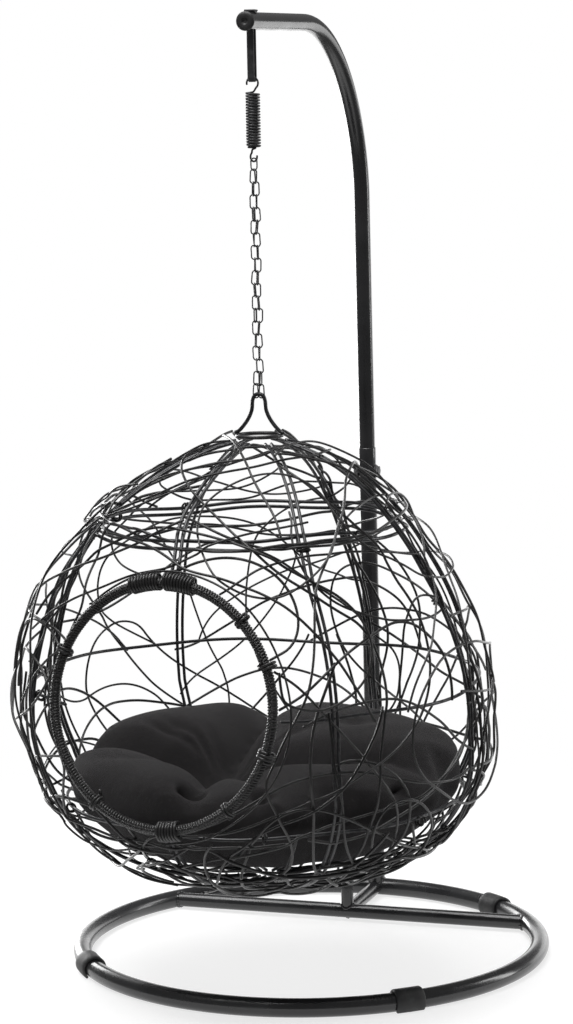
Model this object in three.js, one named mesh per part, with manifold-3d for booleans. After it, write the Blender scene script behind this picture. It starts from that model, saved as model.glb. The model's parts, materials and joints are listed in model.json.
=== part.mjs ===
// Hanging egg chair in its small pet size: ring base, curved pole, spring, doubled chain, woven basket and cushion.
// Millimetres, +Z up. The door faces -Y, the pole stands on the +Y side, X runs across.
import * as THREE from "three";
import Module from "manifold-3d";

const wasm = await Module();
wasm.setup();
const { Manifold, Mesh: SolidMesh } = wasm;

// ---- driving dimensions ----
const GAP = 0.3; // clearance between pieces that touch

const RING_RADIUS = 214; // centreline of the base ring
const RING_TUBE = 17;
const TUBE_WALL = 1.2;
const RING_SPLIT = 0.8; // opening between the ring's two ends, under a foot clip
const CROSSBAR_Y = 115.3;
const CROSSBAR_TUBE = 13.8;
const BRACE_TUBE = 12;
const BRACE_TOP = 92;

const POST_LEAN = 1.1; // degrees, towards the basket
const POST_Y = 213; // where the post's axis meets the floor
const POST_TUBE = 17;
const POST_TOP = 453.3;
const POLE_TUBE = 15.6;
const POLE_STRAIGHT_TOP = 700;
const ARM_HEIGHT = 859; // arm centreline above the floor at the hanger
const ARM_DROOP = 1.1; // degrees
const ARM_END_Y = -134;
const SPIGOT_TUBE = 12.4;
const SPIGOT_BOTTOM = 398;
const SPIGOT_TOP = 508;
const BOLT_HEIGHT = 430;
const BOLT_RADIUS = 2.5;
const BOLT_HEAD_RADIUS = 5.2;

const CLIP_LENGTH = 26;
const CLIP_WALL = 2.3;
const CLIP_BORE = 9.3; // radius inside a clip, loose over the tube's flats
const CLIP_ANGLES = [-143, -49, 51, 129]; // degrees from +X; the last one hides the ring's split

const HANG_Y = -119.4; // hanging axis
const STRAP_WIDTH = 6.8;
const STRAP_THICKNESS = 1.5;
const STRAP_BOTTOM = 806.8;
const STRAP_BEND = 3.2; // centreline radius of the strap's fold
const PLATE_SIZE = [9.5, 11.5, 1.6];

const SPRING_WIRE = 1.8;
const SPRING_OUTER = 12.3;
const SPRING_TOP = 797.3;
const SPRING_BOTTOM = 750.6;
const SPRING_TURNS = 19;
const TOP_HOOK_RADIUS = 5.2;
const BOTTOM_HOOK_RADIUS = 3.0;
const HOOK_BOTTOM = 738.5;

const LINK_WIRE = 1.25;
const LINK_WIDTH = 6.2;
const HOOK_LINK_WIDTH = 9.2;
const LINKS_PER_STRAND = 18;
const STRAND_X = 3.4;
const STRAND_Y = 1.3;

const BAIL_WIRE = 3.5;
const BAIL_TOP = 537;
const BAIL_HALF_WIDTH = 5.75; // centreline, at the narrow top
const CROWN_RADIUS = 20;
const CROWN_Z = 498.6;

const BASKET_RADIUS = 213.2;
const BASKET_WIDEST_Z = 267;
const BASKET_RISE = 235; // from the widest level to the top
const BASKET_DROP = 170; // from the widest level to the bottom
const RISE_POWER = 1.83; // superellipse exponents of the two halves
const DROP_POWER = 2.35;
const SHELL_THICKNESS = 3;
const SHELL_CROWN_HOLE = 24;
const SHELL_BOTTOM_HOLE = 9;
const SECTION_STATIONS = 16; // points along the basket's section
const PANELS = 8;
const RIB_WIRE = 4.4;
const HOOP_WIRE = 4;
const HOOP_LEVELS = { upper: 428, lower: 172, bottom: 116 };
const WIDEST_HOOP_Z = 283;

const DOOR_RADIUS = 103.7; // centreline
const DOOR_TUBE = 9.2;
const DOOR_TURN = -8.1; // degrees the door faces off -Y, towards -X
const DOOR_TILT = 6.95; // degrees its face looks up
const DOOR_DISTANCE = 190; // from the basket's axis at the widest level to the door's plane

const CUSHION_RADIUS = 178;
const CUSHION_RIM_Z = 200;
const CUSHION_CROWN_Z = 234;
const CUSHION_DIP_Z = 188;
const CUSHION_CLEAR = 17.5; // from the basket's outer shape to the cushion's underside

// ---- materials ----
const finish = (color, roughness, metalness) =>
  new THREE.MeshStandardMaterial({ color, roughness, metalness });
const PAINT = [0x1d1d1f, 0.32, 0.55];
const STEEL = [0x2a2a2c, 0.35, 0.9];
const CLIP = [0x161617, 0.75, 0];
const RATTAN = [0x1f1f20, 0.45, 0];
const FABRIC = [0x222224, 0.95, 0];

// ---- helpers ----
const rad = THREE.MathUtils.degToRad;
const at = (x, y, z) => new THREE.Vector3(x, y, z);
const part = new THREE.Group();
part.name = "hanging_egg_chair";

function add(name, geometry, look) {
  const mesh = new THREE.Mesh(geometry, finish(...look));
  mesh.name = name;
  part.add(mesh);
}

// A closed polygon whose flats, not its corners, lie at the given radius.
function ringPoints(radius, sides) {
  const corner = radius / Math.cos(Math.PI / sides);
  return Array.from({ length: sides }, (_, i) => {
    const a = ((i + 0.5) / sides) * 2 * Math.PI;
    return new THREE.Vector2(corner * Math.cos(a), corner * Math.sin(a));
  });
}

// A section for sweeping: solid, or hollow when a bore radius is given.
function tubeSection(radius, sides, bore = 0, boreSides = 8) {
  const shape = new THREE.Shape(ringPoints(radius, sides));
  if (bore > 0) shape.holes.push(new THREE.Path(ringPoints(bore, boreSides)));
  return shape;
}

function sweep(curve, section, steps) {
  return new THREE.ExtrudeGeometry(section, {
    steps,
    extrudePath: curve,
    bevelEnabled: false,
  });
}

function smoothPath(points) {
  return new THREE.CatmullRomCurve3(points, false, "centripetal");
}

class Arc extends THREE.Curve {
  constructor(centre, radius, from, to) {
    super();
    Object.assign(this, { centre, radius, from, to });
  }
  getPoint(t, target = new THREE.Vector3()) {
    const a = rad(this.from + t * (this.to - this.from));
    const x = this.centre.x + this.radius * Math.cos(a);
    const y = this.centre.y + this.radius * Math.sin(a);
    return target.set(x, y, this.centre.z);
  }
}

// A path through fixed stations, so that neighbours built on the same stations stay parallel.
class Stations extends THREE.Curve {
  constructor(points) {
    super();
    this.points = points;
  }
  getPoint(t, target = new THREE.Vector3()) {
    const last = this.points.length - 1;
    const i = Math.min(last - 1, Math.floor(t * last));
    return target.lerpVectors(this.points[i], this.points[i + 1], t * last - i);
  }
  getUtoTmapping(u) {
    return u;
  }
}

// A straight round bar or pipe from a to b.
function bar(a, b, radius, sides = 12, bore = 0) {
  const length = a.distanceTo(b);
  const geometry = new THREE.ExtrudeGeometry(tubeSection(radius, sides, bore), {
    depth: length,
    bevelEnabled: false,
  });
  const turn = new THREE.Quaternion().setFromUnitVectors(at(0, 0, 1), b.clone().sub(a).normalize());
  geometry.applyQuaternion(turn);
  return geometry.translate(a.x, a.y, a.z);
}

// Turns a closed outline about Z; the outline's x is the radius and its y the height.
function lathe(points, segments = 32) {
  const outline = THREE.ShapeUtils.area(points) > 0 ? points : [...points].reverse();
  const closed = [...outline, outline[0].clone()];
  return new THREE.LatheGeometry(closed, segments).rotateX(Math.PI / 2);
}

function torus(radius, wire, segments, sides, centre) {
  const tube = wire / 2 / Math.cos(Math.PI / sides);
  return new THREE.TorusGeometry(radius, tube, sides, segments).translate(...centre);
}

function toSolid(geometry) {
  const positions = geometry.attributes.position.array;
  const count = positions.length / 3;
  const index = geometry.index ? geometry.index.array : Array.from({ length: count }, (_, i) => i);
  const mesh = new SolidMesh({
    numProp: 3,
    vertProperties: new Float32Array(positions),
    triVerts: new Uint32Array(index),
    tolerance: 1e-3,
  });
  mesh.merge();
  return new Manifold(mesh);
}

function toGeometry(solid) {
  const mesh = solid.getMesh();
  const geometry = new THREE.BufferGeometry();
  geometry.setAttribute("position", new THREE.BufferAttribute(mesh.vertProperties, 3));
  geometry.setIndex(new THREE.BufferAttribute(mesh.triVerts, 1));
  geometry.computeVertexNormals();
  return geometry;
}

const cut = (geometry, ...tools) =>
  toGeometry(tools.reduce((solid, tool) => solid.subtract(toSolid(tool)), toSolid(geometry)));

// ---- stand ----
const tubeLevel = RING_TUBE / 2;
const ringKeepOut = () =>
  torus(RING_RADIUS, RING_TUBE + 2 * GAP + 0.7, 72, 12, [0, 0, tubeLevel]);

const splitAngle = THREE.MathUtils.radToDeg(RING_SPLIT / RING_RADIUS);
const ringStart = CLIP_ANGLES[3] + splitAngle / 2;
const ringCurve = new Arc(at(0, 0, tubeLevel), RING_RADIUS, ringStart, ringStart + 360 - splitAngle);
add("base_ring", sweep(ringCurve, tubeSection(tubeLevel, 12, tubeLevel - TUBE_WALL), 44), PAINT);

const crossbarReach = Math.sqrt(RING_RADIUS ** 2 - CROSSBAR_Y ** 2) - 2;
const crossbar = bar(
  at(-crossbarReach, CROSSBAR_Y, tubeLevel),
  at(crossbarReach, CROSSBAR_Y, tubeLevel),
  CROSSBAR_TUBE / 2,
  12,
  CROSSBAR_TUBE / 2 - TUBE_WALL,
);
add("crossbar", cut(crossbar, ringKeepOut()), PAINT);

const crossbarKeepOut = () =>
  bar(
    at(-60, CROSSBAR_Y, tubeLevel),
    at(60, CROSSBAR_Y, tubeLevel),
    CROSSBAR_TUBE / 2 + GAP,
    12,
  );
const postY = (z) => POST_Y - z * Math.tan(rad(POST_LEAN));
const postPoint = (z) => at(0, postY(z), z);
const postKeepOut = () => bar(postPoint(-20), postPoint(260), POST_TUBE / 2 + GAP + 0.2, 12);
const foot = bar(
  at(0, CROSSBAR_Y, tubeLevel),
  at(0, RING_RADIUS - 3, tubeLevel),
  CROSSBAR_TUBE / 2,
  12,
  CROSSBAR_TUBE / 2 - TUBE_WALL,
);
add("foot_strut", cut(foot, crossbarKeepOut(), ringKeepOut(), postKeepOut()), PAINT);

const post = bar(
  postPoint(tubeLevel),
  postPoint(POST_TOP),
  POST_TUBE / 2,
  12,
  POST_TUBE / 2 - TUBE_WALL,
);
const boltHole = () =>
  bar(
    at(-40, postY(BOLT_HEIGHT), BOLT_HEIGHT),
    at(40, postY(BOLT_HEIGHT), BOLT_HEIGHT),
    BOLT_RADIUS + GAP,
    10,
  );
add("lower_post", cut(post, ringKeepOut(), boltHole()), PAINT);

const brace = sweep(
  smoothPath([
    at(0, CROSSBAR_Y, tubeLevel),
    at(0, CROSSBAR_Y, tubeLevel + 28),
    at(0, CROSSBAR_Y + 12, BRACE_TOP - 30),
    at(0, CROSSBAR_Y + 45, BRACE_TOP - 8),
    at(0, postY(BRACE_TOP) - 4, BRACE_TOP),
  ]),
  tubeSection(BRACE_TUBE / 2, 10, BRACE_TUBE / 2 - TUBE_WALL),
  14,
);
const footKeepOut = bar(at(0, CROSSBAR_Y, tubeLevel), postPoint(tubeLevel), CROSSBAR_TUBE / 2 + GAP);
add("pole_brace", cut(brace, crossbarKeepOut(), footKeepOut, postKeepOut()), PAINT);

const spigot = bar(
  postPoint(SPIGOT_BOTTOM),
  postPoint(SPIGOT_TOP),
  SPIGOT_TUBE / 2,
  12,
  SPIGOT_TUBE / 2 - TUBE_WALL,
);
add("pole_spigot", cut(spigot, boltHole()), STEEL);

const armSlope = Math.tan(rad(ARM_DROOP));
const armPoint = (y) => at(0, y, ARM_HEIGHT + (y - HANG_Y) * armSlope);
const bendTop = 24.7; // where the bend runs out into the arm, along Y
const poleCurve = new THREE.CurvePath();
const poleFoot = postPoint(POST_TOP + GAP);
const bendStart = postPoint(POLE_STRAIGHT_TOP);
const bendEnd = armPoint(bendTop);
poleCurve.add(new THREE.LineCurve3(poleFoot, bendStart));
poleCurve.add(
  new THREE.CubicBezierCurve3(
    bendStart,
    postPoint(POLE_STRAIGHT_TOP + 69),
    armPoint(bendTop + 108.5),
    bendEnd,
  ),
);
poleCurve.add(new THREE.LineCurve3(bendEnd, armPoint(ARM_END_Y)));
const strapSlot = new THREE.BoxGeometry(
  STRAP_WIDTH + 2 * GAP,
  2 * STRAP_BEND + STRAP_THICKNESS + 2 * GAP,
  40,
).translate(0, HANG_Y, ARM_HEIGHT);
const pole = sweep(
  poleCurve,
  tubeSection(POLE_TUBE / 2, 12, POLE_TUBE / 2 - TUBE_WALL),
  24,
);
add("upper_pole", cut(pole, strapSlot), PAINT);

const boltAt = (x) => at(x, postY(BOLT_HEIGHT), BOLT_HEIGHT);
const headFace = POST_TUBE / 2 + GAP;
const shank = toSolid(bar(boltAt(-13.4), boltAt(headFace + 1), BOLT_RADIUS, 10));
const head = toSolid(bar(boltAt(headFace), boltAt(headFace + 3.2), BOLT_HEAD_RADIUS, 6));
add("pole_bolt", toGeometry(shank.add(head)), STEEL);
const nut = bar(boltAt(-headFace - 4), boltAt(-headFace), 4.2, 6, BOLT_RADIUS + GAP);
add("pole_nut", nut, STEEL);

function clipSection() {
  const corners = (radius) =>
    Array.from({ length: 10 }, (_, i) => {
      const a = rad(-45 + 30 * i);
      const corner = radius / Math.cos(rad(15));
      return new THREE.Vector2(corner * Math.cos(a), corner * Math.sin(a));
    });
  const outer = corners(CLIP_BORE + CLIP_WALL);
  const inner = corners(CLIP_BORE).reverse();
  return new THREE.Shape([...outer, ...inner]);
}
const clipHalf = THREE.MathUtils.radToDeg(CLIP_LENGTH / 2 / RING_RADIUS);
CLIP_ANGLES.forEach((angle, i) => {
  const slices = [-1, -0.33, 0.33, 1].map((t) => angle + t * clipHalf);
  add(`foot_clip_${i + 1}`, sectionAlongRing(clipSection(), slices), CLIP);
});

// Places a section in upright planes around the ring and closes it into one solid.
function sectionAlongRing(shape, angles) {
  const outline = shape.getPoints();
  const faces = THREE.ShapeUtils.triangulateShape(outline, []);
  const count = outline.length;
  const positions = [];
  for (const angle of angles) {
    for (const p of outline) {
      const r = RING_RADIUS + p.x;
      positions.push(r * Math.cos(rad(angle)), r * Math.sin(rad(angle)), tubeLevel + p.y);
    }
  }
  const index = [];
  for (let s = 0; s < angles.length - 1; s++) {
    for (let i = 0; i < count; i++) {
      const j = (i + 1) % count;
      const a = s * count;
      const b = a + count;
      index.push(a + i, b + i, a + j);
      index.push(a + j, b + i, b + j);
    }
  }
  const last = (angles.length - 1) * count;
  for (const [p, q, r] of faces) {
    index.push(p, q, r);
    index.push(last + r, last + q, last + p);
  }
  const geometry = new THREE.BufferGeometry();
  geometry.setAttribute("position", new THREE.Float32BufferAttribute(positions, 3));
  geometry.setIndex(index);
  return geometry;
}

const capRadius = POLE_TUBE / 2 + 0.6;
const plugRadius = POLE_TUBE / 2 - TUBE_WALL - 0.4;
const cap = lathe([
  new THREE.Vector2(0, 2.6),
  new THREE.Vector2(capRadius - 1.2, 2.4),
  new THREE.Vector2(capRadius, 1.4),
  new THREE.Vector2(capRadius, GAP),
  new THREE.Vector2(plugRadius, GAP),
  new THREE.Vector2(plugRadius, -8),
  new THREE.Vector2(0, -8),
], 20);
cap.rotateX(Math.PI / 2 + rad(ARM_DROOP));
cap.translate(...armPoint(ARM_END_Y).toArray());
add("arm_end_cap", cap, CLIP);

// ---- hanger ----
const plateBottom = ARM_HEIGHT + POLE_TUBE / 2 + 2 * GAP;
function strapShape() {
  const foldZ = STRAP_BOTTOM + STRAP_BEND + STRAP_THICKNESS / 2;
  const outer = STRAP_BEND + STRAP_THICKNESS / 2;
  const inner = STRAP_BEND - STRAP_THICKNESS / 2;
  const shape = new THREE.Shape();
  const top = plateBottom - GAP;
  shape.moveTo(outer, top);
  shape.lineTo(inner, top);
  shape.lineTo(inner, foldZ);
  for (let i = 1; i <= 6; i++) {
    const a = (-i / 6) * Math.PI;
    shape.lineTo(inner * Math.cos(a), foldZ + inner * Math.sin(a));
  }
  shape.lineTo(-inner, top);
  shape.lineTo(-outer, top);
  shape.lineTo(-outer, foldZ);
  for (let i = 5; i >= 0; i--) {
    const a = (-i / 6) * Math.PI;
    shape.lineTo(outer * Math.cos(a), foldZ + outer * Math.sin(a));
  }
  shape.closePath();
  return shape;
}
const strap = new THREE.ExtrudeGeometry(strapShape(), { depth: STRAP_WIDTH, bevelEnabled: false });
strap.translate(0, 0, -STRAP_WIDTH / 2);
strap.applyMatrix4(new THREE.Matrix4().makeBasis(at(0, 1, 0), at(0, 0, 1), at(1, 0, 0)));
strap.translate(0, HANG_Y, 0);
add("hanger_strap", strap, STEEL);
const plate = new THREE.BoxGeometry(...PLATE_SIZE);
plate.translate(0, HANG_Y, plateBottom + PLATE_SIZE[2] / 2);
add("hanger_plate", plate, STEEL);

// ---- spring ----
class SpringPath extends THREE.Curve {
  getPoint(t, target = new THREE.Vector3()) {
    const hookShare = 0.09;
    const coil = (SPRING_OUTER - SPRING_WIRE) / 2;
    const topZ = STRAP_BOTTOM + STRAP_THICKNESS + GAP + 2.8 - TOP_HOOK_RADIUS;
    const lowZ = HOOK_BOTTOM + SPRING_WIRE / 2 + BOTTOM_HOOK_RADIUS;
    if (t < hookShare) {
      const s = t / hookShare;
      const a = rad(205 - 245 * Math.min(1, s / 0.8));
      const blend = Math.max(0, (s - 0.8) / 0.2);
      const end = at(coil, 0, SPRING_TOP);
      const onHook = at(TOP_HOOK_RADIUS * Math.cos(a), 0, topZ + TOP_HOOK_RADIUS * Math.sin(a));
      return target.copy(onHook.lerp(end, blend * blend * (3 - 2 * blend)));
    }
    if (t > 1 - hookShare) {
      const s = (t - 1 + hookShare) / hookShare;
      const a = rad(40 - 245 * Math.max(0, (s - 0.2) / 0.8));
      const blend = Math.max(0, 1 - s / 0.2);
      const end = at(coil, 0, SPRING_BOTTOM);
      const onHook = at(BOTTOM_HOOK_RADIUS * Math.cos(a), 0, lowZ + BOTTOM_HOOK_RADIUS * Math.sin(a));
      return target.copy(onHook.lerp(end, blend * blend * (3 - 2 * blend)));
    }
    const s = (t - hookShare) / (1 - 2 * hookShare);
    const a = s * SPRING_TURNS * 2 * Math.PI;
    return target.set(
      coil * Math.cos(a),
      coil * Math.sin(a),
      SPRING_TOP + s * (SPRING_BOTTOM - SPRING_TOP),
    );
  }
  getUtoTmapping(u) {
    return u;
  }
}
const spring = sweep(new SpringPath(), tubeSection(SPRING_WIRE / 2, 4), SPRING_TURNS * 6 + 26);
add("spring", spring.translate(0, HANG_Y, 0), STEEL);

// ---- chain ----
// A link is a torus with its two halves drawn apart; it stands upright, its face along X or along Y.
function link(top, bottom, width = LINK_WIDTH, facingX = false) {
  const radius = (width - LINK_WIRE) / 2;
  const length = top.distanceTo(bottom);
  const tube = LINK_WIRE / 2 / Math.cos(Math.PI / 4);
  const geometry = new THREE.TorusGeometry(radius, tube, 4, 6);
  geometry.rotateZ(Math.PI / 6);
  const rise = length / 2 - radius;
  const place = geometry.attributes.position;
  for (let i = 0; i < place.count; i++) {
    place.setY(i, place.getY(i) + Math.sign(place.getY(i)) * rise);
  }
  geometry.rotateX(Math.PI / 2);
  if (facingX) geometry.rotateZ(Math.PI / 2);
  const along = top.clone().sub(bottom).normalize();
  geometry.applyQuaternion(new THREE.Quaternion().setFromUnitVectors(at(0, 0, 1), along));
  const middle = top.clone().add(bottom).multiplyScalar(0.5);
  return geometry.translate(middle.x, middle.y, middle.z);
}

const hookSeat = HOOK_BOTTOM + SPRING_WIRE + GAP + LINK_WIRE / 2;
const hookLinkBottom = hookSeat - 11.35;
const hookLink = link(at(0, 0, hookSeat + 0.6), at(0, 0, hookLinkBottom), HOOK_LINK_WIDTH, true);
add("hook_link", hookLink.translate(0, HANG_Y, 0), STEEL);

const strandTop = hookLinkBottom + LINK_WIRE + GAP + 1.2;
const strandBottom = BAIL_TOP - BAIL_WIRE - LINK_WIRE / 2 - 1.8;
const linkOverlap = LINK_WIRE * 0.85;
const linkPitch = (strandTop - strandBottom - linkOverlap) / LINKS_PER_STRAND;
function strand(side) {
  let solid = null;
  for (let k = 0; k < LINKS_PER_STRAND; k++) {
    const topX = k === 0 ? 0 : side * STRAND_X;
    const lowX = k === LINKS_PER_STRAND - 1 ? side * 2.4 : side * STRAND_X;
    const last = k === LINKS_PER_STRAND - 1;
    const y = last ? 0 : side * STRAND_Y;
    const top = at(topX, y, strandTop - k * linkPitch);
    const low = at(lowX, y, strandTop - (k + 1) * linkPitch - linkOverlap);
    const piece = toSolid(link(top, low, last ? 7.6 : LINK_WIDTH, k % 2 === 1));
    solid = solid ? solid.add(piece) : piece;
  }
  return toGeometry(solid).translate(0, HANG_Y, 0);
}
add("chain_left", strand(-1), STEEL);
add("chain_right", strand(1), STEEL);

// ---- basket ----
// A point of the basket's section, t from 0 at the top to 1 at the bottom, moved inwards by inset.
function sectionPoint(t, inset = 0) {
  const raw = (s) => {
    const a = s * Math.PI;
    const c = Math.cos(a);
    const power = c >= 0 ? RISE_POWER : DROP_POWER;
    const reach = c >= 0 ? BASKET_RISE : BASKET_DROP;
    return new THREE.Vector2(
      BASKET_RADIUS * Math.max(0, Math.sin(a)) ** (2 / power),
      BASKET_WIDEST_Z + Math.sign(c) * reach * Math.abs(c) ** (2 / power),
    );
  };
  const p = raw(t);
  if (inset === 0) return p;
  const step = 0.004;
  const along = raw(Math.min(1, t + step)).sub(raw(Math.max(0, t - step))).normalize();
  return new THREE.Vector2(p.x + along.y * inset, p.y - along.x * inset);
}

// The section's parameter where a test of the point first holds.
function findT(test, from = 0, to = 1) {
  const steps = 4000;
  for (let i = 0; i <= steps; i++) {
    const t = from + ((to - from) * i) / steps;
    if (test(sectionPoint(t))) return t;
  }
  return to;
}
const crownT = findT((p) => p.x >= SHELL_CROWN_HOLE);
const bottomT = findT((p) => p.x >= SHELL_BOTTOM_HOLE, 1, 0);

function section(count, inset) {
  return Array.from({ length: count }, (_, i) => {
    return sectionPoint(crownT + ((bottomT - crownT) * i) / (count - 1), inset);
  });
}

const doorAngle = -90 + DOOR_TURN;
const doorNormal = at(
  Math.cos(rad(doorAngle)) * Math.cos(rad(DOOR_TILT)),
  Math.sin(rad(doorAngle)) * Math.cos(rad(DOOR_TILT)),
  Math.sin(rad(DOOR_TILT)),
);
const basketHeart = at(0, HANG_Y, BASKET_WIDEST_Z);
const doorCentre = basketHeart.clone().addScaledVector(doorNormal, DOOR_DISTANCE);
const doorway = (radius) =>
  bar(
    doorCentre.clone().addScaledVector(doorNormal, -70),
    doorCentre.clone().addScaledVector(doorNormal, 80),
    radius,
    32,
  );
const doorKeepOut = toSolid(doorway(DOOR_RADIUS + DOOR_TUBE / 2 + GAP + 0.6));

const doorRing = torus(DOOR_RADIUS, DOOR_TUBE, 40, 6, [0, 0, 0]);
doorRing.applyQuaternion(new THREE.Quaternion().setFromUnitVectors(at(0, 0, 1), doorNormal));
add("door_ring", doorRing.translate(...doorCentre.toArray()), RATTAN);

const shellSection = [
  ...section(SECTION_STATIONS, 0),
  ...section(SECTION_STATIONS, SHELL_THICKNESS).reverse(),
];
const shell = lathe(shellSection, 32).rotateZ(rad(doorAngle)).translate(0, HANG_Y, 0);
const shellSolid = toSolid(shell);
const panelTurn = 360 / PANELS;
for (let k = 0; k < PANELS; k++) {
  const from = rad(doorAngle + k * panelTurn);
  const to = rad(doorAngle + (k + 1) * panelTurn);
  const middle = (from + to) / 2;
  const offset = (GAP / 2) / Math.sin((to - from) / 2);
  const reach = 600;
  const tip = new THREE.Vector2(offset * Math.cos(middle), offset * Math.sin(middle));
  const wedge = new THREE.ExtrudeGeometry(
    new THREE.Shape([
      tip,
      new THREE.Vector2(tip.x + reach * Math.cos(from), tip.y + reach * Math.sin(from)),
      new THREE.Vector2(tip.x + reach * Math.cos(to), tip.y + reach * Math.sin(to)),
    ]),
    { depth: 700, bevelEnabled: false },
  ).translate(0, HANG_Y, 0);
  const panel = shellSolid.intersect(toSolid(wedge));
  const nearDoor = k === 0 || k === PANELS - 1;
  add(`woven_panel_${k + 1}`, toGeometry(nearDoor ? panel.subtract(doorKeepOut) : panel), RATTAN);
}

const ribInset = SHELL_THICKNESS + GAP + RIB_WIRE / 2 + 0.6;
function rib(k) {
  const a = rad(doorAngle + k * panelTurn);
  const points = section(SECTION_STATIONS, ribInset).map((p) => {
    return at(p.x * Math.cos(a), HANG_Y + p.x * Math.sin(a), p.y);
  });
  return sweep(new Stations(points), tubeSection(RIB_WIRE / 2, 4), SECTION_STATIONS - 1);
}
for (let k = 1; k < PANELS; k++) {
  add(`rib_${k}`, rib(k), PAINT);
}
const frontRib = toSolid(rib(0)).subtract(doorKeepOut);
const [upperRib, lowerRib] = frontRib.decompose().sort((p, q) => {
  return q.boundingBox().max[2] - p.boundingBox().max[2];
});
add("rib_over_door", toGeometry(upperRib), PAINT);
add("rib_under_door", toGeometry(lowerRib), PAINT);

const hoopInset = ribInset + RIB_WIRE / 2 + GAP + HOOP_WIRE / 2 + 2;
const hoopAt = (z) => sectionPoint(findT((p) => p.y <= z), hoopInset);
for (const [level, z] of Object.entries(HOOP_LEVELS)) {
  const p = hoopAt(z);
  add(`hoop_${level}`, torus(p.x, HOOP_WIRE, 28, 4, [0, HANG_Y, p.y]), PAINT);
}
const widest = hoopAt(WIDEST_HOOP_Z);
const widestHoop = torus(widest.x, HOOP_WIRE, 36, 4, [0, HANG_Y, widest.y]);
add("hoop_widest", cut(widestHoop, doorway(DOOR_RADIUS + DOOR_TUBE / 2 + GAP + 0.6)), PAINT);

add("crown_ring", torus(CROWN_RADIUS, BAIL_WIRE, 20, 6, [0, HANG_Y, CROWN_Z]), PAINT);

const bailMiddle = BAIL_TOP - BAIL_WIRE / 2;
const bailFoot = CROWN_Z + BAIL_WIRE / 2 + GAP + 1;
const bailSide = (side) => [
  at(side * BAIL_HALF_WIDTH, HANG_Y, bailMiddle - BAIL_HALF_WIDTH),
  at(side * (BAIL_HALF_WIDTH + 0.9), HANG_Y, bailMiddle - 14),
  at(side * (BAIL_HALF_WIDTH + 5), HANG_Y, bailMiddle - 23),
  at(side * CROWN_RADIUS, HANG_Y, bailFoot),
];
const bailTop = [-135, -90, -45].map((a) => {
  return at(
    BAIL_HALF_WIDTH * Math.sin(rad(a + 90)),
    HANG_Y,
    bailMiddle - BAIL_HALF_WIDTH + BAIL_HALF_WIDTH * Math.cos(rad(a + 90)),
  );
});
const bailPath = smoothPath([...bailSide(-1).reverse(), ...bailTop, ...bailSide(1)]);
add("bail", sweep(bailPath, tubeSection(BAIL_WIRE / 2, 6), 24), PAINT);

// ---- cushion ----
const cushionUnder = [];
for (let t = 1; t > 0.5; t -= 0.035) {
  const p = sectionPoint(Math.min(t, 0.995), CUSHION_CLEAR);
  if (p.x < CUSHION_RADIUS - 2 && p.y < CUSHION_RIM_Z - 12) cushionUnder.push(p);
}
const cushionFloor = cushionUnder[0].y;
const cushionOutline = [
  new THREE.Vector2(0, cushionFloor),
  ...cushionUnder.filter((p) => p.x > 20),
  new THREE.Vector2(CUSHION_RADIUS, CUSHION_RIM_Z),
  new THREE.Vector2(CUSHION_RADIUS - 8, CUSHION_RIM_Z + 16),
  new THREE.Vector2(CUSHION_RADIUS - 30, CUSHION_CROWN_Z - 3),
  new THREE.Vector2(CUSHION_RADIUS - 62, CUSHION_CROWN_Z),
  new THREE.Vector2(CUSHION_RADIUS - 105, CUSHION_CROWN_Z - 6),
  new THREE.Vector2(28, CUSHION_DIP_Z + 8),
  new THREE.Vector2(0, CUSHION_DIP_Z),
];
add("cushion", lathe(cushionOutline, 24).translate(0, HANG_Y, 0), FABRIC);

// ---- the row frame: origin on the floor under the middle of the bounding box ----
const bounds = new THREE.Box3().setFromObject(part);
const middle = bounds.getCenter(at(0, 0, 0));
for (const mesh of part.children) {
  mesh.geometry.translate(-middle.x, -middle.y, -bounds.min.z);
}

export default part;
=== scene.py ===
# Looks of the hanging egg chair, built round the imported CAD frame.
# Lengths are in millimetres from the middle of the base ring on the floor; in_frame() turns them into the
# frame's metres. The door faces -Y, the pole stands on the +Y side.
import json
import math

import bpy
import numpy as np
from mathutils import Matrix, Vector
from mathutils.kdtree import KDTree


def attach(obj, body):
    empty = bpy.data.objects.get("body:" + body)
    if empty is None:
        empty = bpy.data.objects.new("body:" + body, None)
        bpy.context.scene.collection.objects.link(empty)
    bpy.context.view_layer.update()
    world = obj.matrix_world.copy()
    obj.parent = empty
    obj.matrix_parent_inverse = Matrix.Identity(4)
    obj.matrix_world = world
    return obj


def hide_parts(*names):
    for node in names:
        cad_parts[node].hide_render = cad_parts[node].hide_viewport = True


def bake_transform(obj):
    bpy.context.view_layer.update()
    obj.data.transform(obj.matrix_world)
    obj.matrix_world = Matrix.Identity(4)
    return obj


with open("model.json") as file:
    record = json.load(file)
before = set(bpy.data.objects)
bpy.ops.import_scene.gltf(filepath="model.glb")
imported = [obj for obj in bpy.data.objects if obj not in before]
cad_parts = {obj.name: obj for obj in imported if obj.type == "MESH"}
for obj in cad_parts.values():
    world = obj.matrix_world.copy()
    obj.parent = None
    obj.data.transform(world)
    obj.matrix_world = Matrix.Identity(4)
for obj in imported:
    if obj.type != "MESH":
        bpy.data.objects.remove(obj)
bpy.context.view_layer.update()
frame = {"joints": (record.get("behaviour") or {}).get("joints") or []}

MM = 0.001

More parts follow.
